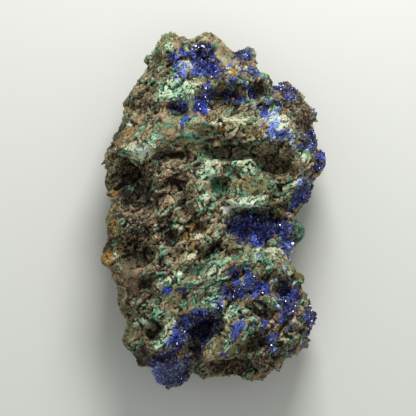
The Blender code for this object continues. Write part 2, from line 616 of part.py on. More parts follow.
def make_crust(rock, places, crust, taken, trees, seed):
    """The mesh of a crust that touches neither the rock nor the crusts made before it.

    It stays off the faces already taken, and adds its own and their neighbours to them. The trees hold the
    rock, first, and the crusts, and its own is added to them.
    """
    faces = {f for f in rock.faces if f not in taken and is_under(f, places[f.index], crust, trees[0])}
    while True:
        faces = in_one_sheet(faces)
        bm = crust_over(faces, crust, seed)
        source = bm.faces.layers.int["source"]
        own_tree = BVHTree.FromBMesh(bm)
        hits = [own for tree in trees for own, other in own_tree.overlap(tree)]
        if not hits:
            break
        touching = {bm.faces[own][source] for own in hits}
        bm.free()
        faces = {f for f in faces if f.index not in touching}
    taken.update(near for f in faces for v in f.verts for near in v.link_faces)
    trees.append(own_tree)
    mesh = bpy.data.meshes.new(crust.name)
    bm.to_mesh(mesh)
    bm.free()
    return mesh


def raise_crystal(bm, face, height, rng):
    """Turns a face into a flat-sided crystal: a leaning point, or now and then a blunt prism."""
    source = bm.faces.layers.int["source"]
    number = face[source]
    size = math.sqrt(face.calc_area())
    if size < SMALLEST_CRYSTAL:
        return
    corners = list(face.verts)
    middle, normal = face.calc_center_median(), face.normal.copy()
    rise = normal * min(height, STEEPEST_CRYSTAL * size) * rng.uniform(0.4, 1.0)
    lean = Vector(rng.uniform(-CRYSTAL_LEAN, CRYSTAL_LEAN, 3)) * size
    if rng.random() > BLUNT_SHARE or size < SMALLEST_BLUNT_CRYSTAL:
        rings = [corners, [bm.verts.new(middle + rise + lean)]]
    else:
        foot = [bm.verts.new(middle.lerp(v.co, 0.8)) for v in corners]
        tops = [bm.verts.new(middle.lerp(v.co, 0.5) + rise * 1.4 + lean) for v in corners]
        tops[0].co += rise * 0.4
        rings = [corners, foot, tops]
        bm.faces.new(tops)[source] = number
    bm.faces.remove(face)
    for low, high in zip(rings, rings[1:]):
        for i in range(len(low)):
            j = (i + 1) % len(low)
            far = [high[0]] if len(high) == 1 else [high[j], high[i]]
            bm.faces.new([low[i], low[j], *far])[source] = number


def stand_on_origin(meshes):
    """Brings the drawing to its real length, with the middle of its footprint at the origin."""
    places = np.array([v.co for mesh in meshes for v in mesh.vertices])
    low, high = places.min(axis=0), places.max(axis=0)
    shift = Matrix.Translation((-(low[0] + high[0]) / 2, -(low[1] + high[1]) / 2, -low[2]))
    for mesh in meshes:
        mesh.transform(Matrix.Scale(LENGTH / (high[1] - low[1]), 4) @ shift)


def add_object(mesh, material):
    mesh.materials.clear()
    mesh.materials.append(material)
    bpy.context.scene.collection.objects.link(bpy.data.objects.new(mesh.name, mesh))


def main():
    for obj in list(bpy.data.objects):
        bpy.data.objects.remove(obj)
    matrix = make_matrix()
    rock = bmesh.new()
    rock.from_mesh(matrix)
    rock.normal_update()
    rock.faces.ensure_lookup_table()
    places = bent(np.array([face.calc_center_median() for face in rock.faces]))
    taken, trees, crusts = set(), [BVHTree.FromBMesh(rock)], []
    for number, crust in enumerate(CRUSTS):
        crusts.append(make_crust(rock, places, crust, taken, trees, FIRST_CRUST_SEED + number))
    rock.free()

    stand_on_origin([matrix, *crusts])
    add_object(matrix, make_material("matrix rock", (0.105, 0.085, 0.055), 0.85))
    azurite = make_material("azurite", (0.012, 0.02, 0.20), 0.25)
    for mesh in crusts:
        add_object(mesh, azurite)


main()
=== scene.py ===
"""A loose azurite specimen: iron-stained matrix rock with malachite films and druses of azurite crystals."""

import itertools
import json
import math

import bmesh
import bpy
import numpy as np
from bpy.props import FloatProperty, FloatVectorProperty, IntProperty, PointerProperty
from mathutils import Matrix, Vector
from mathutils.bvhtree import BVHTree

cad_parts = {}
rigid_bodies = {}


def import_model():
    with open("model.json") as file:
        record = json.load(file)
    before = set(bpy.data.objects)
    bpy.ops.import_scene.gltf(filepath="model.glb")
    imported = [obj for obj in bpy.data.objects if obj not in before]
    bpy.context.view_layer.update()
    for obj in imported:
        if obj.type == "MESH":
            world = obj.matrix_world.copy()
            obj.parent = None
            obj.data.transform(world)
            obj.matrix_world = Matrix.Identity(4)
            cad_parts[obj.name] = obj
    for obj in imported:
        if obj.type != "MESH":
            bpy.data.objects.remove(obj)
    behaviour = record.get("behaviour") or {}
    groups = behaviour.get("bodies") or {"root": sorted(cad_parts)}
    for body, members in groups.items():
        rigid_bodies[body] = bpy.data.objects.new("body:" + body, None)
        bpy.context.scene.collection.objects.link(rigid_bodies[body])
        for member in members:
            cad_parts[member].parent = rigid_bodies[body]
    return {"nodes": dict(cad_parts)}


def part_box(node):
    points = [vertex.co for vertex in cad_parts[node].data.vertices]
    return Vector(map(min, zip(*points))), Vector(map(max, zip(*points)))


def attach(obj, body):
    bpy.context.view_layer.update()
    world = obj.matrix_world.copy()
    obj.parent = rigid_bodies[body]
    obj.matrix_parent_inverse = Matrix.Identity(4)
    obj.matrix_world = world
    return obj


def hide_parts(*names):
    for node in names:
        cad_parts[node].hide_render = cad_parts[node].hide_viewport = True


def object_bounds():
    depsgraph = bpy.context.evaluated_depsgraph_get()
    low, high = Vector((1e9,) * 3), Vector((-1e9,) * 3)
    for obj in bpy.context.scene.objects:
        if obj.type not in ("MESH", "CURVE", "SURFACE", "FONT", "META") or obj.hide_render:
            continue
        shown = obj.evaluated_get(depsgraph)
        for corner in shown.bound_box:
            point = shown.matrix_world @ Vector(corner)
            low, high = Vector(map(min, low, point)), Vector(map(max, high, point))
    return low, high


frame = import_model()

bl_info = {
    "name": "Azurite specimen",
    "version": (1, 0, 0),
    "blender": (4, 5, 0),
    "location": "View3D > Sidebar > Specimen",
    "description": "Dresses a rough lump of matrix rock with malachite films and azurite druses",
    "category": "Add Mesh",
}

CAD_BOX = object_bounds()
MM = 0.001

# Sizes of the rock's own grains and of the finer ones between them, and of the clusters that films form.
GRAIN_SIZE = 0.62 * MM
FINE_GRAIN_SIZE = 0.33 * MM
CLUSTER_SIZE = 1.9 * MM
# The rock breaks in flakes: longer along FLAKE_TURN than across it.
FLAKE_TURN = math.radians(40)
FLAKE_SQUEEZE = 0.65

# The map of the face: steps of MAP_STEP metres, counted across from the left and down from the top.
MAP_STEP = 0.000265989
MAP_ORIGIN = (213.235, 212.469)
# The map's middle step, across and down, which the camera looks at.
MAP_MIDDLE = 208
# The map holds above MAP_HIGH and fades out down to MAP_LOW, where the plain sides begin.
MAP_HIGH = 13 * MM
MAP_LOW = 8 * MM
# How readily the face gives up triangles, beside the back's 1.
FACE_THINNING = 0.3
# The rock's corners closer than this are one corner.
WELD = 0.001 * MM
# How far from a crust rock can still count as part of it, and how far out a druse thins from full to none.
CRUST_REACH = 2 * MM
DRUSE_FULL = 0.75 * MM
DRUSE_END = 1.25 * MM
# The relief attribute runs over heights this far below and above the blurred surface.
RELIEF_RANGE = 0.30 * MM
# Noises that bend the relief's own space: scale and reach.
BENDS = ((110.0, 2.4 * MM), (420.0, 1.0 * MM), (1500.0, 0.4 * MM))
# Noises that bend the map: size, and reach in the map's steps.
MAP_BENDS = ((4.5 * MM, 3.0), (1.7 * MM, 2.2), (0.8 * MM, 1.2))
# How steeply broken facets may lean.
BROKEN_TILT = 2.6
# Scales of the relief's crack and wave noises, and how high the waves are.
CRACK_SCALE = 330.0
WAVE_SCALE = 620.0
WAVE_HEIGHT = 0.55 * MM
# Scales of the materials' fine and broad noises, and of the noises that thin the crumbs and the beads.
FINE_SCALE = 2600.0
BROAD_SCALE = 200.0
CRUMB_SCALE = 420.0
BEAD_SCALE = 560.0
# The relief's inputs, each named for its setting.
RELIEF_INPUTS = (
    "Lump Size", "Lump Height", "Nodule Size", "Nodule Height", "Groove Depth", "Grain Height", "Crack Depth",
    "Pit Size", "Pit Depth", "Streak Width", "Streak Height",
)
# The channels of a finish.
GREEN, BLUE, PALE, OCHRE, OLIVE, LIGHT, BRIGHT, SMOOTH = range(8)
# How far broad noise moves each channel that it moves.
DRIFT = ((GREEN, 0.14), (PALE, 0.10), (OCHRE, 0.10), (OLIVE, 0.20), (LIGHT, 0.10))
# What the plain sides and back are stained with: noise seed, finish, size in millimetres, start, strength.
SIDE_STAINS = (
    (14, "green", 6.0, 0.25, 0.9), (15, "ochre", 5.0, 0.45, 0.7), (16, "tan", 7.0, 0.2, 0.6),
    (17, "dark", 8.0, 0.15, 0.8), (18, "olive", 6.0, 0.3, 0.7),
)
# The crystals' blades: half width, half depth, half length of the top ridge, height of the shoulder.
BLADES = (
    (0.44, 0.26, 0.24, 0.52), (0.36, 0.30, 0.12, 0.60),
    (0.52, 0.20, 0.34, 0.48), (0.40, 0.36, 0.18, 0.44),
)
# Least and most that a scattered shape is scaled along each of its own axes.
SQUASH = (0.8, 1.25)
# Least and most size of a scattered shape as a share of the set size. The power makes most of them small.
SIZE_SPREAD = (0.55, 1.7)
SIZE_POWER = 2.2
# Points tried in a square of the spacing's side, before those too close are left out.
CROWDING = 1.6
# The last shape number that may be drawn. Numbers past the last shape start again at the first.
LAST_PICK = 30
# The stage: half the floor's width, its gap under the rock, the height the camera is set from.
FLOOR_HALF = 3.0
FLOOR_GAP = 0.02 * MM
FACE_HEIGHT = 28 * MM

# Each finish, in the order of the channels above. LIGHT is the bare rock's lightness, BRIGHT the azurite's.
FINISHES = {
    "brown": (0.22, 0.00, 0.12, 0.10, 0.22, 0.45, 0.00, 0.15),
    # dark: a very dark brown. On the face its patches lie in slots, cracks, holes, under ledges and on slopes
    # turned from the key light, where it is painted shade; on the sides it is a random dark stain.
    "dark": (0.10, 0.00, 0.03, 0.05, 0.08, 0.16, 0.00, 0.45),
    "tan": (0.24, 0.00, 0.20, 0.16, 0.16, 0.68, 0.00, 0.20),
    "plain": (0.28, 0.00, 0.12, 0.08, 0.36, 0.74, 0.00, 0.85),
    "umber": (0.10, 0.00, 0.03, 0.03, 0.04, 0.40, 0.00, 0.75),
    "rust": (0.15, 0.00, 0.09, 0.10, 0.06, 0.33, 0.00, 0.00),
    "speckled": (0.24, 0.00, 0.20, 0.34, 0.42, 0.26, 0.00, 0.00),
    "olive": (0.12, 0.00, 0.18, 0.16, 0.80, 0.46, 0.00, 0.40),
    "mustard": (0.12, 0.00, 0.18, 0.50, 0.75, 0.60, 0.00, 0.20),
    "ochre": (0.08, 0.00, 0.12, 0.80, 0.25, 0.52, 0.00, 0.10),
    "green": (0.74, 0.00, 0.20, 0.04, 0.16, 0.46, 0.00, 0.40),
    "moss": (0.60, 0.00, 0.44, 0.18, 0.44, 0.60, 0.00, 0.15),
    "deep": (0.85, 0.00, 0.02, 0.00, 0.15, 0.20, 0.00, 0.80),
    "sage": (0.53, 0.00, 0.32, 0.05, 0.16, 0.54, 0.00, 0.65),
    "mint": (0.68, 0.00, 0.54, 0.08, 0.12, 0.62, 0.00, 0.30),
    "cream": (0.36, 0.00, 0.72, 0.12, 0.16, 0.68, 0.00, 0.25),
    "white": (0.30, 0.00, 1.00, 0.00, 0.00, 0.95, 0.00, 0.10),
    "blue": (0.18, 0.76, 0.06, 0.02, 0.05, 0.26, 0.26, 0.00),
    # black: near-black azurite laid in the deepest hollows and caves, partly the crystals' own dark blue and
    # partly painted shade.
    "black": (0.00, 0.66, 0.00, 0.00, 0.00, 0.08, 0.00, 0.20),
    "navy": (0.12, 0.80, 0.04, 0.00, 0.00, 0.12, 0.08, 0.15),
    "steel": (0.10, 0.84, 0.16, 0.00, 0.00, 0.18, 0.14, 0.10),
    "druse": (0.06, 0.96, 0.02, 0.00, 0.00, 0.24, 0.28, 0.00),
    "cobalt": (0.20, 0.95, 0.02, 0.00, 0.00, 0.34, 1.00, 0.00),
    "slate": (0.28, 0.52, 0.16, 0.02, 0.06, 0.32, 0.30, 0.30),
    "flecked": (0.22, 0.35, 0.12, 0.08, 0.14, 0.32, 0.40, 0.00),
    "sky": (0.26, 0.60, 0.64, 0.06, 0.04, 0.58, 0.72, 0.20),
}

# Finish, across, down, half length, half width, turn in degrees, strength; each lies over those before it.
# The dark patches are painted shade where shade falls on the face; the black ones in the deepest hollows are
# partly dark azurite and partly painted shade.
PATCHES = (
    # the top
    ("speckled", 160, 50, 20, 12, 60, 0.7), ("olive", 172, 37, 12, 5, 0, 0.8),
    ("mint", 168, 47, 8, 7, 0, 0.6), ("plain", 181, 45, 6, 5, 0, 0.9), ("slate", 190, 45, 8, 5, 0, 0.7),
    ("green", 190, 43, 7, 3, 0, 0.4), ("plain", 218, 52, 24, 12, -35, 0.95), ("tan", 203, 36, 12, 4, 0, 0.6),
    ("navy", 243, 55, 10, 9, 0, 0.95), ("green", 240, 47, 6, 3, 0, 0.5), ("cobalt", 173, 57, 8, 4, 70, 0.9),
    ("cobalt", 185, 54, 7, 3.5, -30, 0.95), ("green", 188, 49, 6, 2, -25, 0.6),
    ("druse", 204, 54, 10, 11, 0, 0.95), ("druse", 207, 69, 17, 10, 0, 0.95),
    ("black", 196, 55, 5, 6, 0, 0.95), ("slate", 174, 69, 7, 9, 0, 0.9), ("blue", 182, 78, 8, 6, 0, 0.85),
    ("sky", 186, 67, 6, 6, 0, 0.9), ("mint", 175, 70, 4, 5, 0, 0.5), ("green", 176, 73, 3, 3, 0, 0.6),
    ("speckled", 158, 72, 10, 16, 0, 0.6), ("green", 140, 75, 6, 8, 0, 0.6), ("deep", 130, 99, 4, 7, 0, 0.7),
    ("brown", 150, 100, 16, 28, 0, 0.9), ("speckled", 146, 92, 6, 5, 0, 0.5),
    ("rust", 148, 108, 13, 18, 0, 0.5), ("olive", 145, 96, 5, 5, 0, 0.5), ("dark", 144, 106, 7, 7, 0, 0.7),
    ("ochre", 150, 115, 6, 2, 0, 0.6), ("speckled", 141, 114, 5, 7, 0, 0.6),
    # the green mound and the pit under it
    ("mint", 184, 91, 21, 14, 0, 0.95), ("green", 170, 84, 6, 4, 0, 0.5), ("tan", 196, 84, 8, 8, 0, 0.6),
    ("cream", 194, 82, 8, 5, 0, 0.5), ("ochre", 176, 88, 2.5, 2, 0, 0.9), ("green", 186, 99, 10, 4, 0, 0.5),
    ("blue", 178, 110, 9, 8, 0, 0.95), ("black", 178, 111, 6, 6, 0, 1.0),
    ("cobalt", 190, 105, 8, 5, 20, 0.95), ("cobalt", 199, 103, 9, 6, 55, 1.0),
    ("cobalt", 189, 110, 8, 3, 60, 0.9), ("cobalt", 194, 113, 6, 4, 0, 0.95),
    ("sky", 196, 108, 8, 5, 60, 0.6), ("mint", 201, 113, 5, 3, 60, 0.5), ("mint", 191, 104, 3, 9, 0, 0.95),
    ("white", 191, 107, 2, 6, 0, 0.7), ("cobalt", 200, 106, 5, 6, 60, 0.8),
    ("cobalt", 205, 110, 4, 5, 0, 1.0), ("cobalt", 182, 106, 6, 2.5, 0, 0.9),
    # the upper bowl and its edge
    ("flecked", 252, 95, 50, 22, -15, 0.85), ("blue", 208, 94, 6, 11, 0, 0.7),
    ("olive", 216, 83, 10, 6, 0, 0.6), ("black", 231, 95, 10, 5, 0, 0.85), ("slate", 233, 83, 8, 6, 0, 0.7),
    ("blue", 250, 92, 12, 7, 0, 0.7), ("brown", 226, 111, 21, 8, 0, 0.6), ("slate", 206, 92, 5, 10, 0, 0.5),
    ("cobalt", 261, 96, 2.5, 3, 0, 1.0), ("cobalt", 240, 101, 3, 2, 0, 1.0),
    ("green", 257, 103, 7, 2, -25, 0.7), ("rust", 270, 90, 16, 8, -15, 0.8),
    ("rust", 272, 100, 18, 6, -10, 0.8), ("flecked", 274, 96, 14, 8, -10, 0.7),
    ("brown", 266, 82, 20, 6, -15, 0.6), ("navy", 286, 90, 15, 8, -40, 0.7), ("sky", 232, 66, 8, 2, 0, 0.8),
    ("ochre", 233, 71, 5, 3.5, 90, 0.95), ("slate", 251, 72, 12, 5, -25, 0.75),
    ("cobalt", 250, 73, 11, 2, -25, 0.7), ("white", 245, 67, 2.5, 1.5, 0, 0.9),
    ("green", 264, 71, 10, 4, -25, 0.7),
    # the bulge and the pale blue boss
    ("tan", 238, 129, 26, 12, 0, 0.8), ("speckled", 244, 128, 20, 8, 0, 0.5),
    ("mint", 238, 120, 24, 3, 0, 0.6), ("cream", 234, 121, 20, 3, 0, 0.7),
    ("white", 219, 126, 4, 2, 30, 0.95), ("ochre", 222, 129, 6, 3, 0, 0.85), ("tan", 232, 130, 9, 9, 0, 0.8),
    ("olive", 251, 127, 11, 8, 0, 0.6), ("ochre", 257, 134, 4, 4, 0, 0.5),
    ("sky", 276, 130, 19, 15, -50, 0.85), ("cobalt", 266, 114, 4, 4, 0, 0.7),
    ("sky", 274, 122, 6, 8, 0, 0.9), ("white", 276, 121, 4, 5, 0, 0.25),
    ("ochre", 265, 127, 7, 2.5, 90, 0.85), ("blue", 281, 131, 7, 5, 0, 0.6),
    ("sky", 292, 139, 11, 4, -75, 0.9), ("cobalt", 276, 134, 7, 3, -40, 0.6),
    ("speckled", 283, 147, 6, 4, 0, 0.6), ("ochre", 284, 114, 2.5, 2, 0, 0.9),
    ("green", 274, 109, 5, 2, 0, 0.7), ("rust", 240, 144, 26, 6, 0, 0.8),
    # the right shoulder and the ridge
    ("rust", 302, 122, 12, 16, 0, 0.9), ("olive", 302, 114, 6, 8, 0, 0.5), ("mint", 309, 106, 5, 3, 0, 0.8),
    ("blue", 313, 116, 3, 12, 0, 0.95), ("flecked", 303, 128, 9, 8, 0, 0.7),
    ("green", 304, 137, 7, 8, 0, 0.6), ("navy", 313, 139, 9, 12, 0, 0.95), ("blue", 305, 146, 6, 5, 0, 0.7),
    ("dark", 304, 120, 9, 22, 0, 0.85), ("green", 301, 133, 4, 5, 0, 0.4), ("olive", 302, 112, 5, 6, 0, 0.5),
    ("cream", 307, 160, 8, 4, -50, 0.7), ("mint", 306, 158, 6, 5, -45, 0.3),
    ("navy", 322, 161, 12, 7, 60, 0.95), ("cobalt", 320, 155, 4, 3, 0, 0.6),
    ("navy", 309, 190, 18, 9, 60, 0.95), ("blue", 300, 193, 17, 5, 60, 0.9),
    ("sky", 301, 181, 9, 3.5, 60, 0.85), ("cobalt", 293, 205, 8, 3, 65, 0.9),
    # the brow and the speckled left edge
    # The brow is a pale malachite coat. Its white patches are partly that coat and partly painted light,
    # lifting a brow that faces away from the key light. The dark patch on the left edge is painted shade on a
    # slope turned from the key light.
    ("mint", 140, 153, 20, 9, 25, 1.0), ("white", 140, 154, 16, 8, 25, 1.0),
    ("white", 144, 149, 9, 6, 25, 0.9), ("cream", 150, 143, 10, 5, 25, 0.9),
    ("cream", 131, 148, 9, 6, 25, 0.9), ("mint", 133, 159, 12, 6, 25, 0.9),
    ("green", 128, 156, 6, 5, 0, 0.5), ("green", 160, 138, 7, 4, 0, 0.6),
    ("speckled", 120, 130, 9, 9, 30, 1.0), ("ochre", 131, 130, 5, 2, 40, 0.6),
    ("dark", 123, 131, 13, 11, 30, 0.7), ("olive", 127, 134, 8, 6, 30, 0.6),
    ("white", 139, 153, 11, 7, 0, 0.8), ("green", 127, 154, 4, 4, 0, 0.7),
    ("speckled", 117, 148, 6, 10, 0, 0.8), ("ochre", 129, 132, 5, 3, 90, 0.7),
    ("white", 129, 125, 2, 2, 0, 0.9), ("green", 130, 164, 10, 4, 0, 0.6),
    # the plateau and the crumbly ground under it
    ("plain", 180, 130, 28, 20, 0, 0.9), ("sage", 196, 132, 8, 8, 0, 0.5), ("green", 159, 140, 9, 5, 0, 0.8),
    ("mint", 193, 122, 8, 5, 0, 0.4), ("cobalt", 182, 124, 6, 2.5, 75, 0.95),
    ("cobalt", 187, 118, 3, 2, 0, 0.9), ("olive", 158, 150, 8, 3, 0, 0.6),
    # The dark patches here are painted shade: the slot under the plateau, the slots in the crumbly ground,
    # the big recess at the lower left and the slot beside the tan knob.
    ("rust", 176, 176, 30, 26, 0, 0.9), ("dark", 178, 155, 12, 4, 0, 0.9),
    ("dark", 172, 180, 14, 3, -15, 0.8), ("dark", 133, 190, 24, 30, 0, 0.95),
    ("dark", 181, 200, 6, 9, 0, 0.7), ("ochre", 111, 195, 9, 4, 90, 0.6), ("green", 156, 163, 3, 3, 0, 0.7),
    ("tan", 154, 177, 8, 4, 0, 0.5), ("tan", 199, 194, 15, 11, 90, 0.85),
    ("cream", 200, 198, 10, 7, 90, 0.5), ("mint", 202, 203, 7, 8, 0, 0.3),
    ("mustard", 200, 192, 10, 7, 90, 0.35),
    # the green rib and the shelves
    ("moss", 212, 165, 18, 10, -70, 0.95), ("mint", 212, 160, 14, 5, -70, 0.8),
    ("ochre", 215, 163, 8, 3, -75, 0.5), ("mint", 206, 176, 11, 6, -70, 0.8),
    ("deep", 217, 189, 9, 9, 0, 0.8), ("moss", 245, 163, 18, 7, -15, 0.9),
    ("mint", 247, 161, 12, 3, -15, 0.6), ("green", 232, 168, 7, 5, 0, 0.6),
    # The tan stroke along the cleft under the bulge is painted light that lifts the cleft's shade.
    ("tan", 236, 153, 26, 5, -3, 0.7), ("brown", 276, 168, 15, 12, 0, 0.9),
    ("olive", 252, 187, 23, 11, 8, 0.85), ("tan", 242, 193, 10, 5, 15, 0.5),
    ("green", 268, 185, 7, 5, 0, 0.5), ("tan", 283, 202, 8, 14, 0, 0.6), ("mint", 285, 195, 5, 5, 0, 0.7),
    ("tan", 293, 175, 8, 9, 0, 0.5), ("green", 296, 158, 6, 7, 0, 0.5),
    # the lower left
    # The dark patches in the lower left are painted shade in its crevices and its hole.
    ("rust", 150, 228, 34, 30, 0, 0.85), ("dark", 142, 232, 18, 16, 0, 0.5),
    ("olive", 106, 222, 12, 5, 90, 0.85), ("mustard", 115, 228, 9, 4, 90, 0.9),
    ("green", 121, 231, 2, 4, 0, 0.8), ("dark", 110, 244, 5, 6, 0, 0.8), ("ochre", 108, 258, 8, 5, 90, 0.9),
    ("ochre", 123, 249, 5, 4, 0, 0.6), ("mint", 117, 257, 4, 4, 0, 0.85),
    ("speckled", 138, 232, 13, 8, 0, 0.5), ("mustard", 157, 243, 7, 6, 0, 0.6),
    ("white", 158, 224, 2, 1.5, 0, 0.9), ("green", 163, 250, 5, 11, 0, 0.6),
    ("mint", 157, 255, 5, 4, 0, 0.9), ("dark", 172, 235, 8, 11, 0, 0.9), ("dark", 135, 256, 15, 6, 0, 0.9),
    ("umber", 131, 279, 21, 20, 0, 0.95), ("dark", 145, 284, 7, 6, 0, 0.95),
    ("green", 148, 277, 2, 2, 0, 0.9), ("speckled", 183, 225, 9, 15, 0, 0.8),
    ("mint", 183, 222, 7, 9, 0, 0.4), ("speckled", 195, 240, 24, 9, 70, 0.8),
    ("cream", 198, 238, 7, 2, 70, 0.7), ("cream", 194, 255, 6, 2, 40, 0.8), ("mint", 214, 232, 7, 8, 0, 0.6),
    # the green slope
    ("sage", 192, 284, 44, 22, 12, 0.7), ("white", 177, 274, 5, 3.5, -20, 0.95),
    ("mint", 166, 280, 8, 5, 20, 0.8), ("cobalt", 168, 289, 5, 4.5, 0, 0.95),
    ("blue", 182, 293, 7, 4, -15, 0.85), ("mint", 198, 297, 5, 5, 0, 0.8),
    ("mint", 215, 268, 15, 5, 30, 0.6), ("mint", 220, 278, 15, 8, 20, 0.5),
    # The dark strokes here are painted shade in the crevices across the slope and under the green patch.
    ("dark", 211, 249, 12, 5, 40, 0.95), ("dark", 233, 257, 7, 4, 0, 0.9),
    ("speckled", 139, 312, 12, 12, 0, 0.6), ("mint", 139, 322, 6, 4, 0, 0.7),
    ("green", 161, 316, 11, 8, 0, 0.95), ("dark", 160, 328, 8, 5, 0, 0.85),
    ("umber", 137, 348, 15, 18, 0, 0.8), ("dark", 137, 355, 12, 12, 0, 0.5),
    # the middle hollow, the lobe behind it and the smooth mound under it
    ("druse", 256, 230, 28, 16, -5, 1.0), ("cobalt", 236, 231, 6, 6, 0, 0.6),
    ("cobalt", 254, 236, 8, 4, 0, 0.6), ("druse", 276, 225, 14, 9, 0, 0.9), ("sky", 236, 232, 3, 3, 0, 0.6),
    ("sky", 252, 238, 3, 3, 0, 0.5), ("speckled", 281, 210, 10, 7, 30, 0.9),
    ("blue", 288, 238, 5, 24, 0, 0.8), ("umber", 277, 236, 5, 4, 0, 0.9), ("deep", 302, 231, 8, 20, 0, 0.97),
    ("mint", 247, 205, 20, 8, 10, 1.0), ("white", 244, 206, 15, 4, 10, 0.7),
    ("white", 226, 211, 4, 5, 0, 1.0), ("mint", 300, 220, 7, 2.5, 70, 0.6),
    ("sage", 258, 261, 30, 13, -8, 0.85), ("tan", 240, 251, 8, 4, 0, 0.5), ("sky", 258, 255, 4, 3, 0, 0.95),
    ("cobalt", 265, 245, 3, 5, 0, 0.7), ("cream", 275, 248, 9, 6, 0, 0.7), ("sky", 287, 253, 4, 10, 0, 0.7),
    # the lower right
    ("blue", 239, 276, 13, 9, 0, 0.95), ("cobalt", 243, 276, 10, 5, 10, 0.5),
    ("blue", 253, 284, 14, 6, 10, 0.9), ("sky", 246, 281, 9, 4, 10, 0.4),
    ("mint", 255, 283, 6, 1.5, 20, 0.8), ("cobalt", 261, 292, 11, 7, 0, 0.8),
    ("blue", 234, 293, 16, 8, -10, 0.85), ("slate", 220, 303, 13, 8, 0, 0.85),
    ("cobalt", 205, 313, 18, 6, 15, 0.8), ("mint", 208, 307, 8, 2.5, 15, 0.6),
    ("ochre", 271, 304, 9, 3, 0, 0.6), ("mint", 274, 301, 10, 6, 0, 0.85), ("white", 279, 303, 4, 3, 0, 0.9),
    ("flecked", 262, 325, 22, 20, 0, 0.9), ("dark", 262, 312, 14, 5, 0, 0.5),
    ("white", 285, 270, 7, 4, 15, 0.9), ("sky", 275, 281, 6, 4, 0, 0.9), ("sky", 296, 282, 7, 8, 0, 0.7),
    ("olive", 303, 287, 20, 7, -63, 0.85), ("green", 303, 287, 16, 4, -63, 0.4),
    ("black", 286, 294, 13, 11, 0, 0.97), ("druse", 290, 312, 8, 16, 0, 0.85),
    ("flecked", 304, 334, 9, 12, 0, 0.8), ("slate", 311, 318, 7, 15, 0, 0.8),
    ("navy", 313, 322, 7, 18, 0, 0.95), ("cream", 299, 324, 7, 2.5, -35, 0.5),
    ("ochre", 306, 328, 3, 4, 0, 0.6), ("green", 300, 338, 10, 7, 0, 0.3), ("navy", 309, 325, 6, 18, 0, 0.6),
    # the lower hollow, its blade and its rib
    ("druse", 206, 333, 18, 19, 0, 0.95), ("black", 204, 330, 10, 12, 0, 0.7),
    ("umber", 199, 342, 5, 5, 0, 0.8), ("druse", 180, 334, 20, 9, 62, 0.95),
    ("sky", 171, 337, 14, 3.5, 62, 0.6), ("cream", 164, 336, 14, 6, 58, 0.8),
    ("mint", 159, 344, 6, 7, 0, 0.8), ("tan", 222, 342, 32, 11, 43, 0.8),
    ("olive", 226, 336, 16, 5, 45, 0.6), ("tan", 223, 335, 10, 10, 0, 0.6),
    ("mint", 229, 313, 9, 7, 80, 0.8), ("mint", 231, 341, 9, 5, 60, 0.9),
    ("cobalt", 239, 331, 12, 4.5, 75, 0.8), ("mint", 248, 330, 15, 4, 65, 0.75),
    ("tan", 205, 356, 10, 6, 45, 0.8), ("cobalt", 199, 354, 6, 4, 0, 0.6),
    ("cobalt", 225, 354, 4, 3, 0, 0.8),
    # the nose and the dark foot
    # The dark patches along the foot are painted shade in the recess under the rock's lower edge.
    ("dark", 245, 366, 32, 10, 0, 0.8), ("dark", 255, 343, 8, 9, 0, 0.9),
    ("steel", 169, 373, 23, 20, 0, 0.97), ("black", 166, 359, 15, 5, 0, 0.85),
    ("slate", 157, 371, 7, 7, 0, 0.7), ("sky", 156, 370, 4, 4, 0, 0.5), ("cobalt", 160, 381, 8, 3, 0, 0.5),
    ("navy", 175, 381, 9, 5, 0, 0.7), ("sky", 183, 368, 5, 4, 0, 0.65), ("mint", 180, 366, 3, 2, 0, 0.6),
    ("slate", 273, 345, 13, 11, 0, 0.8), ("slate", 296, 352, 11, 7, 0, 0.7),
    ("flecked", 264, 366, 15, 8, 0, 0.6),
)

# Where the rock is drawn out in slanting streaks: across, down, half length, half width, turn, strength.
STREAKS = (
    (205, 262, 50, 36, 30, 1.0), (220, 335, 34, 30, 45, 0.8),
    (165, 340, 20, 20, 55, 0.7), (195, 235, 26, 22, 65, 0.8),
)

# The druses: crust node, crystal length in millimetres, spacing in millimetres, tilt in degrees.
DRUSES = (
    ("azurite_top_hollow", 0.56, 0.36, 28),
    ("azurite_small_pit", 0.52, 0.34, 28),
    ("azurite_upper_bowl", 0.44, 0.34, 24),
    ("azurite_right_rim", 0.36, 0.32, 18),
    ("azurite_right_ridge", 0.38, 0.32, 18),
    ("azurite_middle_hollow", 0.62, 0.38, 28),
    ("azurite_lower_band", 0.48, 0.34, 28),
    ("azurite_right_cave", 0.54, 0.36, 28),
    ("azurite_lower_hollow", 0.60, 0.38, 28),
    ("azurite_lower_right", 0.38, 0.32, 20),
    ("azurite_nose", 0.44, 0.36, 38),
)


def linear(red, green, blue):
    """A screen colour, 0 to 255 a channel, as the linear colour that shaders use."""
    levels = (channel / 255 for channel in (red, green, blue))
    return tuple(level / 12.92 if level < 0.0404 else ((level + 0.055) / 1.055) ** 2.4 for level in levels)


def colour(name, description, *screen):
    """A colour property with its default from a screen colour."""
    return FloatVectorProperty(
        name=name, description=description, subtype="COLOR", size=3, min=0, max=1, default=linear(*screen)
    )


def length(name, description, millimetres):
    """A length property with its default in millimetres."""
    return FloatProperty(
        name=name, description=description, default=millimetres * MM, min=0, unit="LENGTH", precision=5
    )


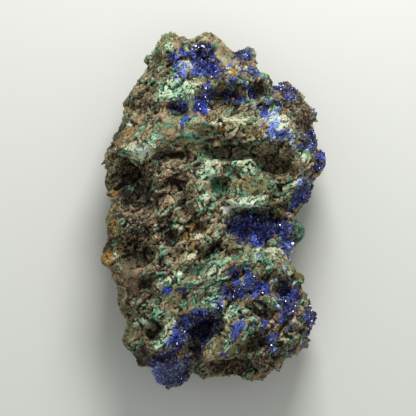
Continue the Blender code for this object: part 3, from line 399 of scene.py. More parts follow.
class RockSettings(bpy.types.PropertyGroup):
    """Sizes of the matrix rock's relief."""

    voxel: length("Voxel", "Spacing of the rock's fine mesh", 0.38)
    smoothing: IntProperty(name="Smoothing", description="Passes that round the facets", default=14)
    triangles: IntProperty(name="Triangles", description="Most triangles in the rock", default=196000)
    lump_size: length("Lump size", "Distance between broken lumps", 4.8)
    lump_height: length("Lump height", "Height of the broken lumps", 1.1)
    nodule_size: length("Nodule size", "Distance between nodules", 1.7)
    nodule_height: length("Nodule height", "Height of the nodules", 0.25)
    groove_depth: length("Groove depth", "Depth of the grooves between nodules", 0.08)
    grain_height: length("Grain height", "Height of the grains", 0.09)
    crack_depth: length("Crack depth", "Depth of the cracks", 0.5)
    pit_size: length("Pit size", "Width of the small pits", 1.7)
    pit_depth: length("Pit depth", "Depth of the small pits", 0.9)
    streak_width: length("Streak width", "Distance between slanting streaks", 1.2)
    streak_height: length("Streak height", "Height of the slanting streaks", 0.45)


class FilmSettings(bpy.types.PropertyGroup):
    """Colours of the rock and of the films on it."""

    # The deep brown is the rock's darkest tone, and it is also what the painted shade in pits, cracks and
    # grain edges darkens towards.
    shade: colour("Deep brown", "Brown of the pits", 38, 27, 22)
    brown: colour("Brown", "Main brown of the matrix", 121, 101, 78)
    # Tan is the rock's light brown. The ramp reaches it, and the step above it, more on what stands proud,
    # where the lightening is partly painted highlight.
    tan: colour("Tan", "Light brown of the worn crumbs", 164, 148, 115)
    olive: colour("Olive", "Olive stain", 127, 120, 73)
    ochre: colour("Ochre", "Iron ochre stain", 176, 128, 58)
    deep_green: colour("Deep green", "Dark malachite", 32, 62, 50)
    green: colour("Green", "Malachite", 94, 138, 108)
    mint: colour("Mint", "Pale malachite", 172, 210, 176)
    cream: colour("Cream", "Pale coating", 206, 204, 168)
    night: colour("Night blue", "Darkest azurite", 27, 21, 46)
    blue: colour("Blue", "Main azurite blue", 44, 42, 92)
    cobalt: colour("Cobalt", "Bright azurite", 64, 86, 196)
    sky: colour("Sky blue", "Pale powdery azurite", 132, 160, 218)


class GrainSettings(bpy.types.PropertyGroup):
    """Sizes of the loose-looking grains on the rock."""

    crumb: length("Crumb", "Width of the rock crumbs", 0.42)
    crumb_spacing: length("Crumb spacing", "Least distance between crumbs", 0.7)
    bead: length("Bead", "Width of the malachite beads", 0.32)
    bead_spacing: length("Bead spacing", "Least distance between beads", 0.5)
    speck: length("Speck", "Length of the scattered azurite crystals", 0.46)
    speck_spacing: length("Speck spacing", "Least distance between scattered crystals", 0.48)


class StageSettings(bpy.types.PropertyGroup):
    """The floor, the lights and the camera."""

    floor: colour("Floor", "Colour of the floor", 206, 207, 202)
    key: FloatProperty(name="Key light", description="Power of the main light", default=1.40, unit="POWER")
    fill: FloatProperty(name="Fill light", description="Power of the soft light", default=1.15, unit="POWER")
    world: FloatProperty(name="World", description="Strength of the surrounding light", default=0.46)
    distance: FloatProperty(
        name="Camera distance", description="Height of the camera over the face", default=1.472, unit="LENGTH"
    )
    view: length("View width", "Width of the view at the face", 110.65)


class Wiring:
    """Adds nodes to one tree. An input is a value or another node's socket."""

    def __init__(self, tree):
        self.tree = tree

    def node(self, kind, inputs=None, **settings):
        """A new node with its settings and inputs."""
        made = self.tree.nodes.new(kind)
        for name, value in settings.items():
            setattr(made, name, value)
        for key, value in (inputs or {}).items():
            if isinstance(value, bpy.types.NodeSocket):
                self.tree.links.new(value, made.inputs[key])
            else:
                made.inputs[key].default_value = value
        return made

    def math(self, operation, *values, clamp=False):
        """Calculates with numbers, by the operation's name."""
        keys = dict(enumerate(values))
        return self.node("ShaderNodeMath", keys, operation=operation, use_clamp=clamp).outputs[0]

    def times(self, first, second, clamp=False):
        """One value times another."""
        return self.math("MULTIPLY", first, second, clamp=clamp)

    def over(self, first, second):
        """One value divided by another."""
        return self.math("DIVIDE", first, second)

    def less(self, first, second=0.5):
        """One value less another, or less a half."""
        return self.math("SUBTRACT", first, second)

    def vector(self, operation, *values):
        """Calculates with vectors, by the operation's name."""
        return self.node("ShaderNodeVectorMath", dict(enumerate(values)), operation=operation).outputs[0]

    def total(self, *terms):
        """The sum of (value, factor) terms and plain numbers or sockets."""
        result = None
        for term in terms:
            part = self.math("MULTIPLY", *term) if isinstance(term, tuple) else term
            result = part if result is None else self.math("ADD", result, part)
        return result

    def clouds(self, place, scale, detail=2.0, output="Fac", roughness=0.5):
        """Smooth noise."""
        keys = {"Vector": place, "Scale": scale, "Detail": detail, "Roughness": roughness}
        return self.node("ShaderNodeTexNoise", keys).outputs[output]

    def cells(self, place, scale, feature="F1"):
        """The outputs of a noise of cells."""
        keys = {"Vector": place, "Scale": scale, "Randomness": 1.0}
        return self.node("ShaderNodeTexVoronoi", keys, feature=feature).outputs

    def random(self, kind, low, high, seed):
        """A random value for each instance: a FLOAT_VECTOR, a FLOAT or an INT."""
        first, second, output = {"FLOAT_VECTOR": (0, 1, 0), "FLOAT": (2, 3, 1), "INT": (4, 5, 2)}[kind]
        keys = {first: low, second: high, "Seed": seed}
        return self.node("FunctionNodeRandomValue", keys, data_type=kind).outputs[output]

    def centred(self, vector):
        """The vector with 0.5 taken from each channel."""
        return self.vector("SUBTRACT", vector, (0.5, 0.5, 0.5))

    def scaled(self, vector, factor):
        """The vector times a number."""
        keys = {0: vector, "Scale": factor}
        return self.node("ShaderNodeVectorMath", keys, operation="SCALE").outputs[0]

    def stored(self, shape, name, value, kind="FLOAT", domain="POINT"):
        """The geometry with the value kept on it as a named attribute."""
        keys = {"Geometry": shape, "Name": name, "Value": value}
        return self.node("GeometryNodeStoreNamedAttribute", keys, data_type=kind, domain=domain).outputs[0]

    def stretch(self, value, low, high, new_low=0.0, new_high=1.0, kind="SMOOTHSTEP"):
        """The value mapped from low and high to the new low and high, and held beyond them."""
        keys = {"Value": value, "From Min": low, "From Max": high, "To Min": new_low, "To Max": new_high}
        return self.node("ShaderNodeMapRange", keys, interpolation_type=kind).outputs[0]

    def mix(self, factor, first, second):
        """From the first colour to the second as the factor goes from 0 to 1."""
        keys = {0: factor, 6: first, 7: second}
        for key in (6, 7):
            if not isinstance(keys[key], bpy.types.NodeSocket):
                keys[key] = (*keys[key][:3], 1)
        return self.node("ShaderNodeMix", keys, data_type="RGBA").outputs[2]

    def mix_value(self, factor, first, second):
        """The same for numbers."""
        return self.node("ShaderNodeMix", {0: factor, 2: first, 3: second}, data_type="FLOAT").outputs[0]

    def ramp(self, factor, *stops):
        """A colour ramp through stops of a position and a colour."""
        made = self.node("ShaderNodeValToRGB", {0: factor})
        elements = made.color_ramp.elements
        while len(elements) < len(stops):
            elements.new(0.5)
        for element, (position, shade) in zip(elements, stops):
            element.position = position
            element.color = (*shade[:3], 1)
        return made.outputs[0]


def smooth_step(low, high, values):
    """0 at low, 1 at high, eased between."""
    t = np.clip((values - low) / (high - low), 0, 1)
    return t * t * (3 - 2 * t)


def noise(points, size, seed):
    """Smooth noise from -1 to 1, with bumps about size across."""
    cells = points / size
    whole = np.floor(cells).astype(np.int64)
    part = cells - whole
    part = part * part * (3 - 2 * part)
    total = np.zeros(len(points))
    for corner in itertools.product((0, 1), repeat=3):
        at = (whole + corner) % 65536
        mixed = (at[:, 0] * 73856093) ^ (at[:, 1] * 19349663) ^ (at[:, 2] * 83492791) ^ (seed * 2654435761)
        mixed = (mixed ^ (mixed >> 13)) * 1274126177 & 0xFFFFFFFF
        value = ((mixed ^ (mixed >> 16)) & 0xFFFF) / 32767.5 - 1
        total += value * np.prod(np.where(corner, part, 1 - part), axis=1)
    return total


def new_object(name, mesh):
    """An object that holds the mesh, linked to the scene."""
    thing = bpy.data.objects.new(name, mesh)
    bpy.context.scene.collection.objects.link(thing)
    return thing


def bake_modifiers(thing):
    """Turns the object's modifiers into its plain mesh."""
    graph = bpy.context.evaluated_depsgraph_get()
    old = thing.data
    finished = thing.evaluated_get(graph)
    mesh = bpy.data.meshes.new_from_object(finished, preserve_all_data_layers=True, depsgraph=graph)
    thing.modifiers.clear()
    thing.data = mesh
    name = old.name
    bpy.data.meshes.remove(old)
    mesh.name = name


def positions(mesh):
    """The vertices' places, a row each."""
    found = np.empty(len(mesh.vertices) * 3, np.float32)
    mesh.vertices.foreach_get("co", found)
    return found.reshape(-1, 3).astype(float)


def vectors(mesh, name):
    """The named vector attribute, a row a vertex."""
    found = np.empty(len(mesh.vertices) * 3, np.float32)
    mesh.attributes[name].data.foreach_get("vector", found)
    return found.reshape(-1, 3).astype(float)


def set_colours(mesh, name, channels):
    """Stores three values a vertex as one attribute."""
    attribute = mesh.attributes.get(name) or mesh.attributes.new(name, "FLOAT_COLOR", "POINT")
    rows = np.column_stack([*channels, np.ones(len(mesh.vertices))]).astype(np.float32)
    attribute.data.foreach_set("color", rows.ravel())


def set_values(mesh, name, values, kind="FLOAT"):
    """Stores one number a vertex as an attribute."""
    attribute = mesh.attributes.get(name) or mesh.attributes.new(name, kind, "POINT")
    attribute.data.foreach_set("value", values.astype(np.float32 if kind == "FLOAT" else np.int32))


def on_map(points):
    """Where points lie on the face's map, bent a little so that no border is a clean curve."""
    across = points[:, 0] / MAP_STEP + MAP_ORIGIN[0]
    down = MAP_ORIGIN[1] - points[:, 1] / MAP_STEP
    for size, reach in MAP_BENDS:
        across = across + reach * noise(points, size, 11)
        down = down + reach * noise(points, size, 12)
    return across, down


def inside(across, down, patch):
    """How far inside a patch points of the map are: its strength well inside, 0 outside."""
    middle, level, half_length, half_width, turn, strength = patch
    turn = math.radians(turn)
    along = (across - middle) * math.cos(turn) - (down - level) * math.sin(turn)
    aside = (across - middle) * math.sin(turn) + (down - level) * math.cos(turn)
    return strength * smooth_step(1.45, 0.55, np.hypot(along / half_length, aside / half_width))


def films(points):
    """The finish of each point from the map, and how far the rock is drawn out in streaks there."""
    across, down = on_map(points)
    face = smooth_step(MAP_LOW, MAP_HIGH, points[:, 2] + 2 * MM * noise(points, 3 * MM, 13))
    layers = np.tile(FINISHES["brown"], (len(points), 1))
    for seed, finish, size, start, strength in SIDE_STAINS:
        field = 0.7 * noise(points, size * MM, seed) + 0.3 * noise(points, size * MM / 3, seed + 20)
        weight = strength * smooth_step(start, start + 0.25, field) * (1 - face)
        layers += (np.array(FINISHES[finish]) - layers) * weight[:, None]
    for finish, *patch in PATCHES:
        weight = inside(across, down, patch) * face
        layers += (np.array(FINISHES[finish]) - layers) * weight[:, None]
    streak = np.zeros(len(points))
    for patch in STREAKS:
        streak = np.maximum(streak, inside(across, down, patch) * face)
    for channel, reach in DRIFT:
        drift = noise(points, 4.0 * MM, 30 + channel) + 0.6 * noise(points, 1.6 * MM, 40 + channel)
        layers[:, channel] += reach * drift
    return np.clip(layers, 0, 1), streak, face


def paint(mesh):
    """Gives the rock's vertices their films, stains, habits and crust cover."""
    layers, streak, face = films(positions(mesh))
    number, druse = crust_cover(vectors(mesh, "home"))
    layers += (np.array(FINISHES["blue"]) - layers) * (0.9 * druse * (1 - face))[:, None]
    green, blue, pale, ochre, olive, light, bright, smooth = layers.T
    set_colours(mesh, "film", (green, blue, pale))
    set_colours(mesh, "stain", (ochre, olive, light))
    set_colours(mesh, "habit", (bright, smooth, streak))
    set_values(mesh, "crust_number", number, "INT")
    set_values(mesh, "druse", druse)
    set_values(mesh, "tint", np.full(len(druse), 0.5))


def crust_cover(points):
    """For each point the number of the nearest crust, and how thickly it is covered by it."""
    number = np.full(len(points), -1)
    nearest = np.full(len(points), 1.0)
    for i, (name, *_) in enumerate(DRUSES):
        mesh = frame["nodes"][name].data
        tree = BVHTree.FromPolygons([v.co for v in mesh.vertices], [p.vertices[:] for p in mesh.polygons])
        low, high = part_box(name)
        close = (points > np.array(low) - CRUST_REACH) & (points < np.array(high) + CRUST_REACH)
        for k in np.flatnonzero(np.all(close, axis=1)):
            distance = tree.find_nearest(points[k], CRUST_REACH)[3]
            if distance is not None and distance < nearest[k]:
                nearest[k] = distance
                number[k] = i
    ragged = nearest + 0.35 * MM * noise(points, 1.5 * MM, 19) + 0.2 * MM * noise(points, 0.6 * MM, 20)
    druse = smooth_step(DRUSE_END, DRUSE_FULL, ragged)
    return np.where(druse > 0, number, -1), druse


def speckle(net, amount, source, spread, softness):
    """A ragged mask: 1 where the amount of cover and the swing of the noise together pass a half."""
    swing = net.times(net.less(source), spread)
    swing = net.times(swing, net.stretch(amount, 0.0, 0.3, 0.4, 1.0))
    low = net.less(0.5, softness)
    high = net.math("ADD", 0.5, softness)
    return net.stretch(net.math("ADD", amount, swing), low, high)


def speckle_group():
    """The ragged mask as a node group for the materials."""
    tree = bpy.data.node_groups.get("Speckle")
    if tree:
        return tree
    tree = bpy.data.node_groups.new("Speckle", "ShaderNodeTree")
    for name in ("Amount", "Noise", "Spread", "Softness"):
        tree.interface.new_socket(name, in_out="INPUT", socket_type="NodeSocketFloat")
    tree.interface.new_socket("Mask", in_out="OUTPUT", socket_type="NodeSocketFloat")
    net = Wiring(tree)
    given = net.node("NodeGroupInput").outputs
    net.node("NodeGroupOutput", {"Mask": speckle(net, *(given[i] for i in range(4)))})
    return tree


def mosaic(net, place):
    """Three noises round 0.5 that change from grain to grain and in broad clusters, as a vector."""
    total = (0.5, 0.5, 0.5)
    for source, share in (
        (net.cells(place, 1 / GRAIN_SIZE)["Color"], 0.34),
        (net.cells(place, 1 / FINE_GRAIN_SIZE)["Color"], 0.26),
        (net.clouds(place, 1 / CLUSTER_SIZE, 3.0, "Color"), 2.3),
    ):
        total = net.vector("ADD", total, net.scaled(net.centred(source), share))
    return total


def grain_group():
    """Noise by grain, fine and broad smooth noise, grain edges and a bump height, for the materials."""
    tree = bpy.data.node_groups.get("Grain")
    if tree:
        return tree
    tree = bpy.data.node_groups.new("Grain", "ShaderNodeTree")
    for name in ("Rest", "Vector"):
        tree.interface.new_socket(name, in_out="INPUT", socket_type="NodeSocketVector")
    kinds = {"Mosaic": "Color", "Fine": "Color", "Broad": "Color", "Edge": "Float", "Height": "Float"}
    for name, kind in kinds.items():
        tree.interface.new_socket(name, in_out="OUTPUT", socket_type="NodeSocket" + kind)
    net = Wiring(tree)
    given = net.node("NodeGroupInput").outputs
    keys = {"Vector": given["Vector"], "Scale": FINE_SCALE, "Detail": 3.0, "Roughness": 0.6}
    fine = net.node("ShaderNodeTexNoise", keys).outputs
    broad = net.clouds(given["Rest"], BROAD_SCALE, 3.0, "Color")
    edge = net.stretch(net.cells(given["Rest"], 1 / GRAIN_SIZE, "DISTANCE_TO_EDGE")["Distance"], 0.14, 0.01)
    small = net.cells(given["Rest"], 1 / FINE_GRAIN_SIZE)["Distance"]
    height = net.total(fine[0], (edge, -0.4), (small, -0.5))
    outputs = {"Mosaic": mosaic(net, given["Rest"]), "Fine": fine["Color"], "Broad": broad}
    net.node("NodeGroupOutput", {**outputs, "Edge": edge, "Height": height})
    return tree


def split(net, socket):
    """A colour's three channels."""
    return net.node("ShaderNodeSeparateColor", {0: socket}).outputs[:3]


def attribute(net, name, output="Color"):
    """A mesh attribute in a material."""
    return net.node("ShaderNodeAttribute", attribute_name=name).outputs[output]


def new_material(name):
    """A material with a Principled BSDF, its wiring and that shader node."""
    material = bpy.data.materials.new(name)
    material.use_nodes = True
    net = Wiring(material.node_tree)
    return material, net, net.tree.nodes["Principled BSDF"]


def feed(net, shader, **inputs):
    """Sets a node's inputs by name, with _ for a space, to values or sockets."""
    for name, value in inputs.items():
        socket = shader.inputs[name.replace("_", " ")]
        if isinstance(value, bpy.types.NodeSocket):
            net.tree.links.new(value, socket)
        else:
            socket.default_value = value


def rock_material():
    """Iron-stained matrix with malachite, pale, ochre, olive and azurite films, speckled at two sizes, with
    painted shade in pits and cracks and painted highlight on what stands proud.
    """
    found = bpy.data.materials.get("stained matrix rock")
    if found:
        return found
    paints = bpy.context.scene.specimen_films
    material, net, shader = new_material("stained matrix rock")
    grain = net.node("ShaderNodeGroup", node_tree=grain_group())
    place = net.node("ShaderNodeTexCoord").outputs["Object"]
    feed(net, grain, Rest=attribute(net, "rest", "Vector"), Vector=place)
    grains, fine, broad = (split(net, grain.outputs[name]) for name in ("Mosaic", "Fine", "Broad"))
    green, blue, pale = split(net, attribute(net, "film"))
    ochre, olive, light = split(net, attribute(net, "stain"))
    bright, smooth, _ = split(net, attribute(net, "habit"))
    relief = net.less(attribute(net, "relief", "Fac"))
    tint = net.less(attribute(net, "tint", "Fac"))
    calm = net.mix_value(smooth, 1.0, 0.45)

    def swing(socket, reach):
        return (net.times(net.less(socket), calm), reach)

    def mask(amount, source, spread=1.0, softness=0.06):
        made = net.node("ShaderNodeGroup", node_tree=speckle_group())
        feed(net, made, Amount=amount, Noise=source, Spread=spread, Softness=softness)
        return made.outputs[0]

    speckled = (swing(grains[2], 0.6), swing(fine[2], 1.8), swing(broad[0], 0.5))
    # The rock's lightness follows light from the finishes, whose dark and black patches are painted shade,
    # then the speckles, then relief, which darkens pits and lightens what stands proud: painted shade and
    # painted highlight.
    body = net.total(light, 0.04, *speckled, (relief, 0.5), (tint, 0.25))
    rock = net.ramp(
        body, (0.0, paints.shade * 0.5), (0.22, paints.shade), (0.52, paints.brown),
        (0.82, paints.tan), (1.0, tuple(min(1, c * 1.2) for c in paints.tan)),
    )
    # The level of the olive, ochre and malachite paints also follows relief: painted shade in pits, painted
    # highlight on what stands proud.
    shade = net.total(
        0.5, swing(fine[0], 1.2), swing(grains[1], 0.5), (relief, 0.6), swing(broad[1], 0.5), (tint, 0.4)
    )
    olive_paint = net.mix(shade, tuple(c * 0.25 for c in paints.olive), paints.olive)
    rock = net.mix(mask(olive, grains[1], 0.9, 0.2), rock, olive_paint)
    ochre_paint = net.mix(shade, tuple(c * 0.3 for c in paints.ochre), paints.ochre)
    rock = net.mix(mask(ochre, net.less(1.0, grains[2])), rock, ochre_paint)
    malachite = net.ramp(
        shade, (0.05, paints.deep_green * 0.5), (0.3, paints.deep_green),
        (0.62, paints.green), (1.0, paints.mint),
    )
    rock = net.mix(net.times(green, 0.3), rock, malachite)
    green_mask = mask(net.total(green, (relief, 0.2)), grains[0], 1.0, 0.14)
    rock = net.mix(green_mask, rock, malachite)
    coat = net.mix(net.times(green, 0.95), paints.cream, paints.mint)
    # The pale coat goes towards near black with the noise, its own darker flecks, and where relief is low, as
    # painted shade in pits.
    coat_dark_and_shaded = net.mix(0.5, coat, (0.02, 0.02, 0.015))
    coat = net.mix(net.total(0.75, swing(fine[1], 1.2), (relief, 0.9)), coat_dark_and_shaded, coat)
    coat = net.mix(net.stretch(pale, 0.7, 0.95), coat, (0.74, 0.84, 0.78))
    pale_mask = mask(net.total(pale, (relief, 0.3)), net.total((fine[0], 1.2), (grains[2], 0.5), -0.35))
    rock = net.mix(pale_mask, rock, coat)
    # The azurite film's level follows relief too: painted shade in pits, painted highlight on what stands
    # proud.
    level = net.total(
        0.14, (bright, 0.58), swing(fine[0], 1.1), swing(grains[0], 0.4), (relief, 0.5), (tint, 0.6)
    )
    azurite = net.ramp(level, (0.0, paints.night), (0.35, paints.blue), (0.75, paints.cobalt))
    azurite = net.mix(net.times(pale, 1.1, clamp=True), azurite, paints.sky)
    blue_mask = mask(net.total(blue, (relief, -0.3)), grains[1], 1.0, 0.1)
    rock = net.mix(blue_mask, rock, azurite)
    warmth = net.stretch(net.total(fine[1], (net.less(grains[0]), 0.25)), 0.36, 0.64)
    rock = net.vector("MULTIPLY", rock, net.mix(warmth, (1.12, 0.95, 0.93), (0.87, 1.07, 1.07)))
    # Painted shade: the grain edges, and the pits and cracks found from relief, are darkened towards the deep
    # brown, less where the rock is smooth.
    hollow = net.total((grain.outputs["Edge"], 0.22), (net.stretch(relief, -0.02, -0.32), 0.95))
    hollow = net.times(hollow, calm, clamp=True)
    rock = net.mix(net.times(hollow, 0.8), rock, paints.shade * 0.35)
    feed(net, shader, Base_Color=rock, Specular_IOR_Level=0.25)
    rough = net.mix_value(blue_mask, net.mix_value(green_mask, 0.82, 0.66), 0.4)
    feed(net, shader, Roughness=net.total(rough, swing(fine[2], 0.3)))
    keys = {"Strength": 0.7, "Distance": 0.16 * MM, "Height": grain.outputs["Height"]}
    bump = net.node("ShaderNodeBump", keys)
    feed(net, shader, Normal=bump.outputs[0])
    return material


def azurite_material():
    """Glassy azurite: night blue to cobalt by crystal, paler where the coating is powdery, with painted shade
    in pits and under the dark and black patches and painted highlight on what stands proud.
    """
    found = bpy.data.materials.get("azurite crystals")
    if found:
        return found
    paints = bpy.context.scene.specimen_films
    material, net, shader = new_material("azurite crystals")
    place = net.node("ShaderNodeTexCoord").outputs["Object"]
    grain = net.node("ShaderNodeGroup", node_tree=grain_group())
    feed(net, grain, Rest=attribute(net, "rest", "Vector"), Vector=place)
    fine = split(net, grain.outputs["Fine"])
    medium = split(net, grain.outputs["Mosaic"])
    pale = split(net, attribute(net, "film"))[2]
    bright = split(net, attribute(net, "habit"))[0]
    light = split(net, attribute(net, "stain"))[2]
    tint = attribute(net, "tint", "Fac")
    relief = net.less(attribute(net, "relief", "Fac"))
    cluster = net.less(medium[1])
    # The crystals' level follows relief, as painted shade in pits and painted highlight on what stands proud,
    # and it follows light, through which the dark and black patches paint shade on them too.
    level = net.total((tint, 0.9), (bright, 0.5), (light, 0.4), (cluster, 1.1), (relief, 0.7), -0.47)
    body = net.ramp(level, (0.12, paints.night), (0.5, paints.blue), (0.95, paints.cobalt))
    patchy = net.total(0.9, (net.less(medium[0]), 2.0))
    powder = net.times(pale, patchy, clamp=True)
    body = net.mix(powder, body, paints.sky)
    feed(net, shader, Base_Color=body, IOR=1.78)
    feed(net, shader, Specular_IOR_Level=0.75, Specular_Tint=(0.92, 0.94, 1.0, 1.0))
    feed(net, shader, Roughness=net.total(0.07, (powder, 0.4), (fine[1], 0.10)))
    bump = net.node("ShaderNodeBump", {"Strength": 0.2, "Distance": 0.05 * MM, "Height": fine[2]})
    feed(net, shader, Normal=bump.outputs[0])
    return material


def nodes_tree(name, inputs):
    """A geometry tree with named inputs: (name, socket kind) pairs after the geometry."""
    tree = bpy.data.node_groups.new(name, "GeometryNodeTree")
    tree.interface.new_socket("Geometry", in_out="INPUT", socket_type="NodeSocketGeometry")
    for label, kind in inputs:
        tree.interface.new_socket(label, in_out="INPUT", socket_type="NodeSocket" + kind)
    tree.interface.new_socket("Geometry", in_out="OUTPUT", socket_type="NodeSocketGeometry")
    net = Wiring(tree)
    return net, net.node("NodeGroupInput").outputs


def run_tree(thing, tree, values):
    """Puts the tree on the object with its inputs set, and bakes the result."""
    modifier = thing.modifiers.new(tree.name, "NODES")
    modifier.node_group = tree
    for item in tree.interface.items_tree:
        if item.in_out == "INPUT" and item.name in values:
            modifier[item.identifier] = values[item.name]
    bake_modifiers(thing)


def relief_tree():
    """Broken lumps, nodules, grains, cracks, pits and streaks, gentler where the rock is smooth."""
    net, given = nodes_tree("Rock Relief", [(name, "Float") for name in RELIEF_INPUTS])
    place = net.node("GeometryNodeInputPosition").outputs[0]
    _, smooth, streak = channels(net, "habit")
    for scale, reach in BENDS:
        bend = net.centred(net.clouds(place, scale, output="Color"))
        place = net.vector("ADD", place, net.scaled(bend, reach))
    keys = {"Vector": place, "Angle": -FLAKE_TURN}
    place = net.node("ShaderNodeVectorRotate", keys, rotation_type="Z_AXIS").outputs[0]
    place = net.vector("MULTIPLY", place, (FLAKE_SQUEEZE, 1.0, 0.8))
    shape = net.stored(given["Geometry"], "rest", place, "FLOAT_VECTOR")
    place = named_value(net, "rest", "FLOAT_VECTOR")

    def broken(size, height):
        """Broken facets of one size, each at its own random tilt and level."""
        cell = net.cells(place, net.over(1.0, size))
        keys = {0: net.centred(cell["Color"]), 1: net.vector("SUBTRACT", place, cell["Position"])}
        slope = net.node("ShaderNodeVectorMath", keys, operation="DOT_PRODUCT").outputs["Value"]
        blue = net.node("FunctionNodeSeparateColor", {0: cell["Color"]}).outputs[2]
        level = net.less(blue)
        lean = net.over(slope, size)
        return net.times(net.total((lean, BROKEN_TILT), level), height)

    nodules = net.cells(place, net.over(1.0, given["Nodule Size"]), "DISTANCE_TO_EDGE")
    groove = net.stretch(nodules["Distance"], 0.16, 0.0)
    cracks = net.clouds(place, CRACK_SCALE, 3.0, roughness=0.6)
    crack = net.stretch(net.math("ABSOLUTE", net.less(cracks)), 0.035, 0.0)
    wave = net.clouds(place, WAVE_SCALE, 4.0, roughness=0.6)
    pit = net.stretch(net.clouds(place, net.over(1.0, given["Pit Size"])), 0.56, 0.66)
    drawn = net.vector("MULTIPLY", place, (0.3, 1.0, 0.6))
    bands = net.clouds(drawn, net.over(1.0, given["Streak Width"]), 3.0)
    bands = net.times(net.less(bands), streak)
    rough = net.less(1.0, net.times(smooth, 0.9))
    height = net.total(
        broken(given["Lump Size"], given["Lump Height"]),
        broken(given["Nodule Size"], given["Nodule Height"]),
        (crack, net.times(given["Crack Depth"], -1.0)),
        (groove, net.times(given["Groove Depth"], -1.0)),
        broken(GRAIN_SIZE, given["Grain Height"]),
        (net.less(wave), WAVE_HEIGHT),
        (bands, net.times(given["Streak Height"], 4.0)),
        (pit, net.times(given["Pit Depth"], -1.0)),
    )
    height = net.times(height, rough)
    shape = net.stored(shape, "height", height)
    height = named_value(net, "height")
    keys = {0: height, "Iterations": 5, "Weight": 1.0}
    level = net.node("GeometryNodeBlurAttribute", keys, data_type="FLOAT").outputs[0]
    # relief: how far the surface stands above or sinks below its blurred level. The materials use it for
    # painted shade in pits and painted highlight on what stands proud.
    proud = net.stretch(net.less(height, level), -RELIEF_RANGE, RELIEF_RANGE, kind="LINEAR")
    shape = net.stored(shape, "relief", proud)
    normal = net.node("GeometryNodeInputNormal").outputs[0]
    keys = {"Geometry": shape, "Offset": net.scaled(normal, height)}
    shape = net.node("GeometryNodeSetPosition", keys).outputs[0]
    net.node("NodeGroupOutput", {"Geometry": shape})
    return net.tree


def grains_tree(name, density):
    """Scatters small shapes over the rock. density(net, given) gives the density factor's socket."""
    inputs = (
        ("Size", "Float"), ("Spacing", "Float"), ("Tilt", "Float"), ("Seed", "Int"), ("Crust Number", "Int"),
        ("Shapes", "Collection"), ("Material", "Material"),
    )
    net, given = nodes_tree(name, inputs)
    keys = {
        "Mesh": given["Geometry"], "Distance Min": given["Spacing"], "Seed": given["Seed"],
        "Density Max": net.over(CROWDING, net.times(given["Spacing"], given["Spacing"])),
        "Density Factor": density(net, given),
    }
    scattered = net.node("GeometryNodeDistributePointsOnFaces", keys, distribute_method="POISSON")
    lean = net.times(given["Tilt"], -1.0)
    low = net.node("ShaderNodeCombineXYZ", {0: lean, 1: lean, 2: 0.0}).outputs[0]
    high = net.node("ShaderNodeCombineXYZ", {0: given["Tilt"], 1: given["Tilt"], 2: 2 * math.pi}).outputs[0]
    turn = net.random("FLOAT_VECTOR", low, high, 3)
    keys = {"Rotation": scattered.outputs["Rotation"], "Rotate By": turn}
    rotation = net.node("FunctionNodeRotateRotation", keys, rotation_space="LOCAL").outputs[0]
    spread = net.random("FLOAT", 0.0, 1.0, 4)
    size = net.stretch(net.math("POWER", spread, SIZE_POWER), 0.0, 1.0, *SIZE_SPREAD, kind="LINEAR")
    size = net.times(size, given["Size"])
    wide = net.random("FLOAT_VECTOR", (SQUASH[0],) * 3, (SQUASH[1],) * 3, 5)
    shapes = net.node("GeometryNodeCollectionInfo", {0: given["Shapes"], 1: True, 2: True}).outputs[0]
    pick = net.random("INT", 0, LAST_PICK, 6)
    keys = {
        "Points": scattered.outputs["Points"], "Instance": shapes, "Pick Instance": True,
        "Instance Index": pick, "Rotation": rotation, "Scale": net.scaled(wide, size),
    }
    placed = net.node("GeometryNodeInstanceOnPoints", keys).outputs[0]
    placed = net.stored(placed, "tint", net.random("FLOAT", 0.0, 1.0, 7), domain="INSTANCE")
    whole = net.node("GeometryNodeRealizeInstances", {0: placed}).outputs[0]
    whole = net.node("GeometryNodeSetMaterial", {"Geometry": whole, "Material": given["Material"]}).outputs[0]
    net.node("NodeGroupOutput", {"Geometry": whole})
    return net.tree


def hull(name, points):
    """A closed mesh round the points, in flat facets."""
    shape = bmesh.new()
    for point in points:
        shape.verts.new(point)
    made = bmesh.ops.convex_hull(shape, input=shape.verts)
    spare = {v for v in made["geom_interior"] + made["geom_unused"] if isinstance(v, bmesh.types.BMVert)}
    bmesh.ops.delete(shape, geom=[v for v in shape.verts if v in spare], context="VERTS")
    bmesh.ops.recalc_face_normals(shape, faces=shape.faces)
    mesh = bpy.data.meshes.new(name)
    shape.to_mesh(mesh)
    shape.free()
    return mesh


def crystal_shapes():
    """Short azurite blades with wedge ends, one unit long, rooted a little under the surface."""
    meshes = []
    for i, (wide, deep, ridge, shoulder) in enumerate(BLADES):
        corners = ((1, 0.2), (-0.2, 1), (-1, -0.2), (0.2, -1))
        points = [(x * wide, y * deep, z) for z in (-0.3, shoulder) for x, y in corners]
        points += [(ridge, 0.03, 1.0), (-ridge, -0.03, 0.92)]
        meshes.append(hull(f"crystal {i}", points))
    return meshes


def pebble_shapes(flatness):
    """Rough grains, one unit wide."""
    source = np.random.default_rng(5)
    meshes = []
    for i in range(4):
        ring = bmesh.new()
        bmesh.ops.create_icosphere(ring, subdivisions=1, radius=0.5)
        points = [np.array(v.co) * source.uniform(0.75, 1.15) * (1, 1, flatness) for v in ring.verts]
        ring.free()
        meshes.append(hull(f"grain {i}", points))
    return meshes


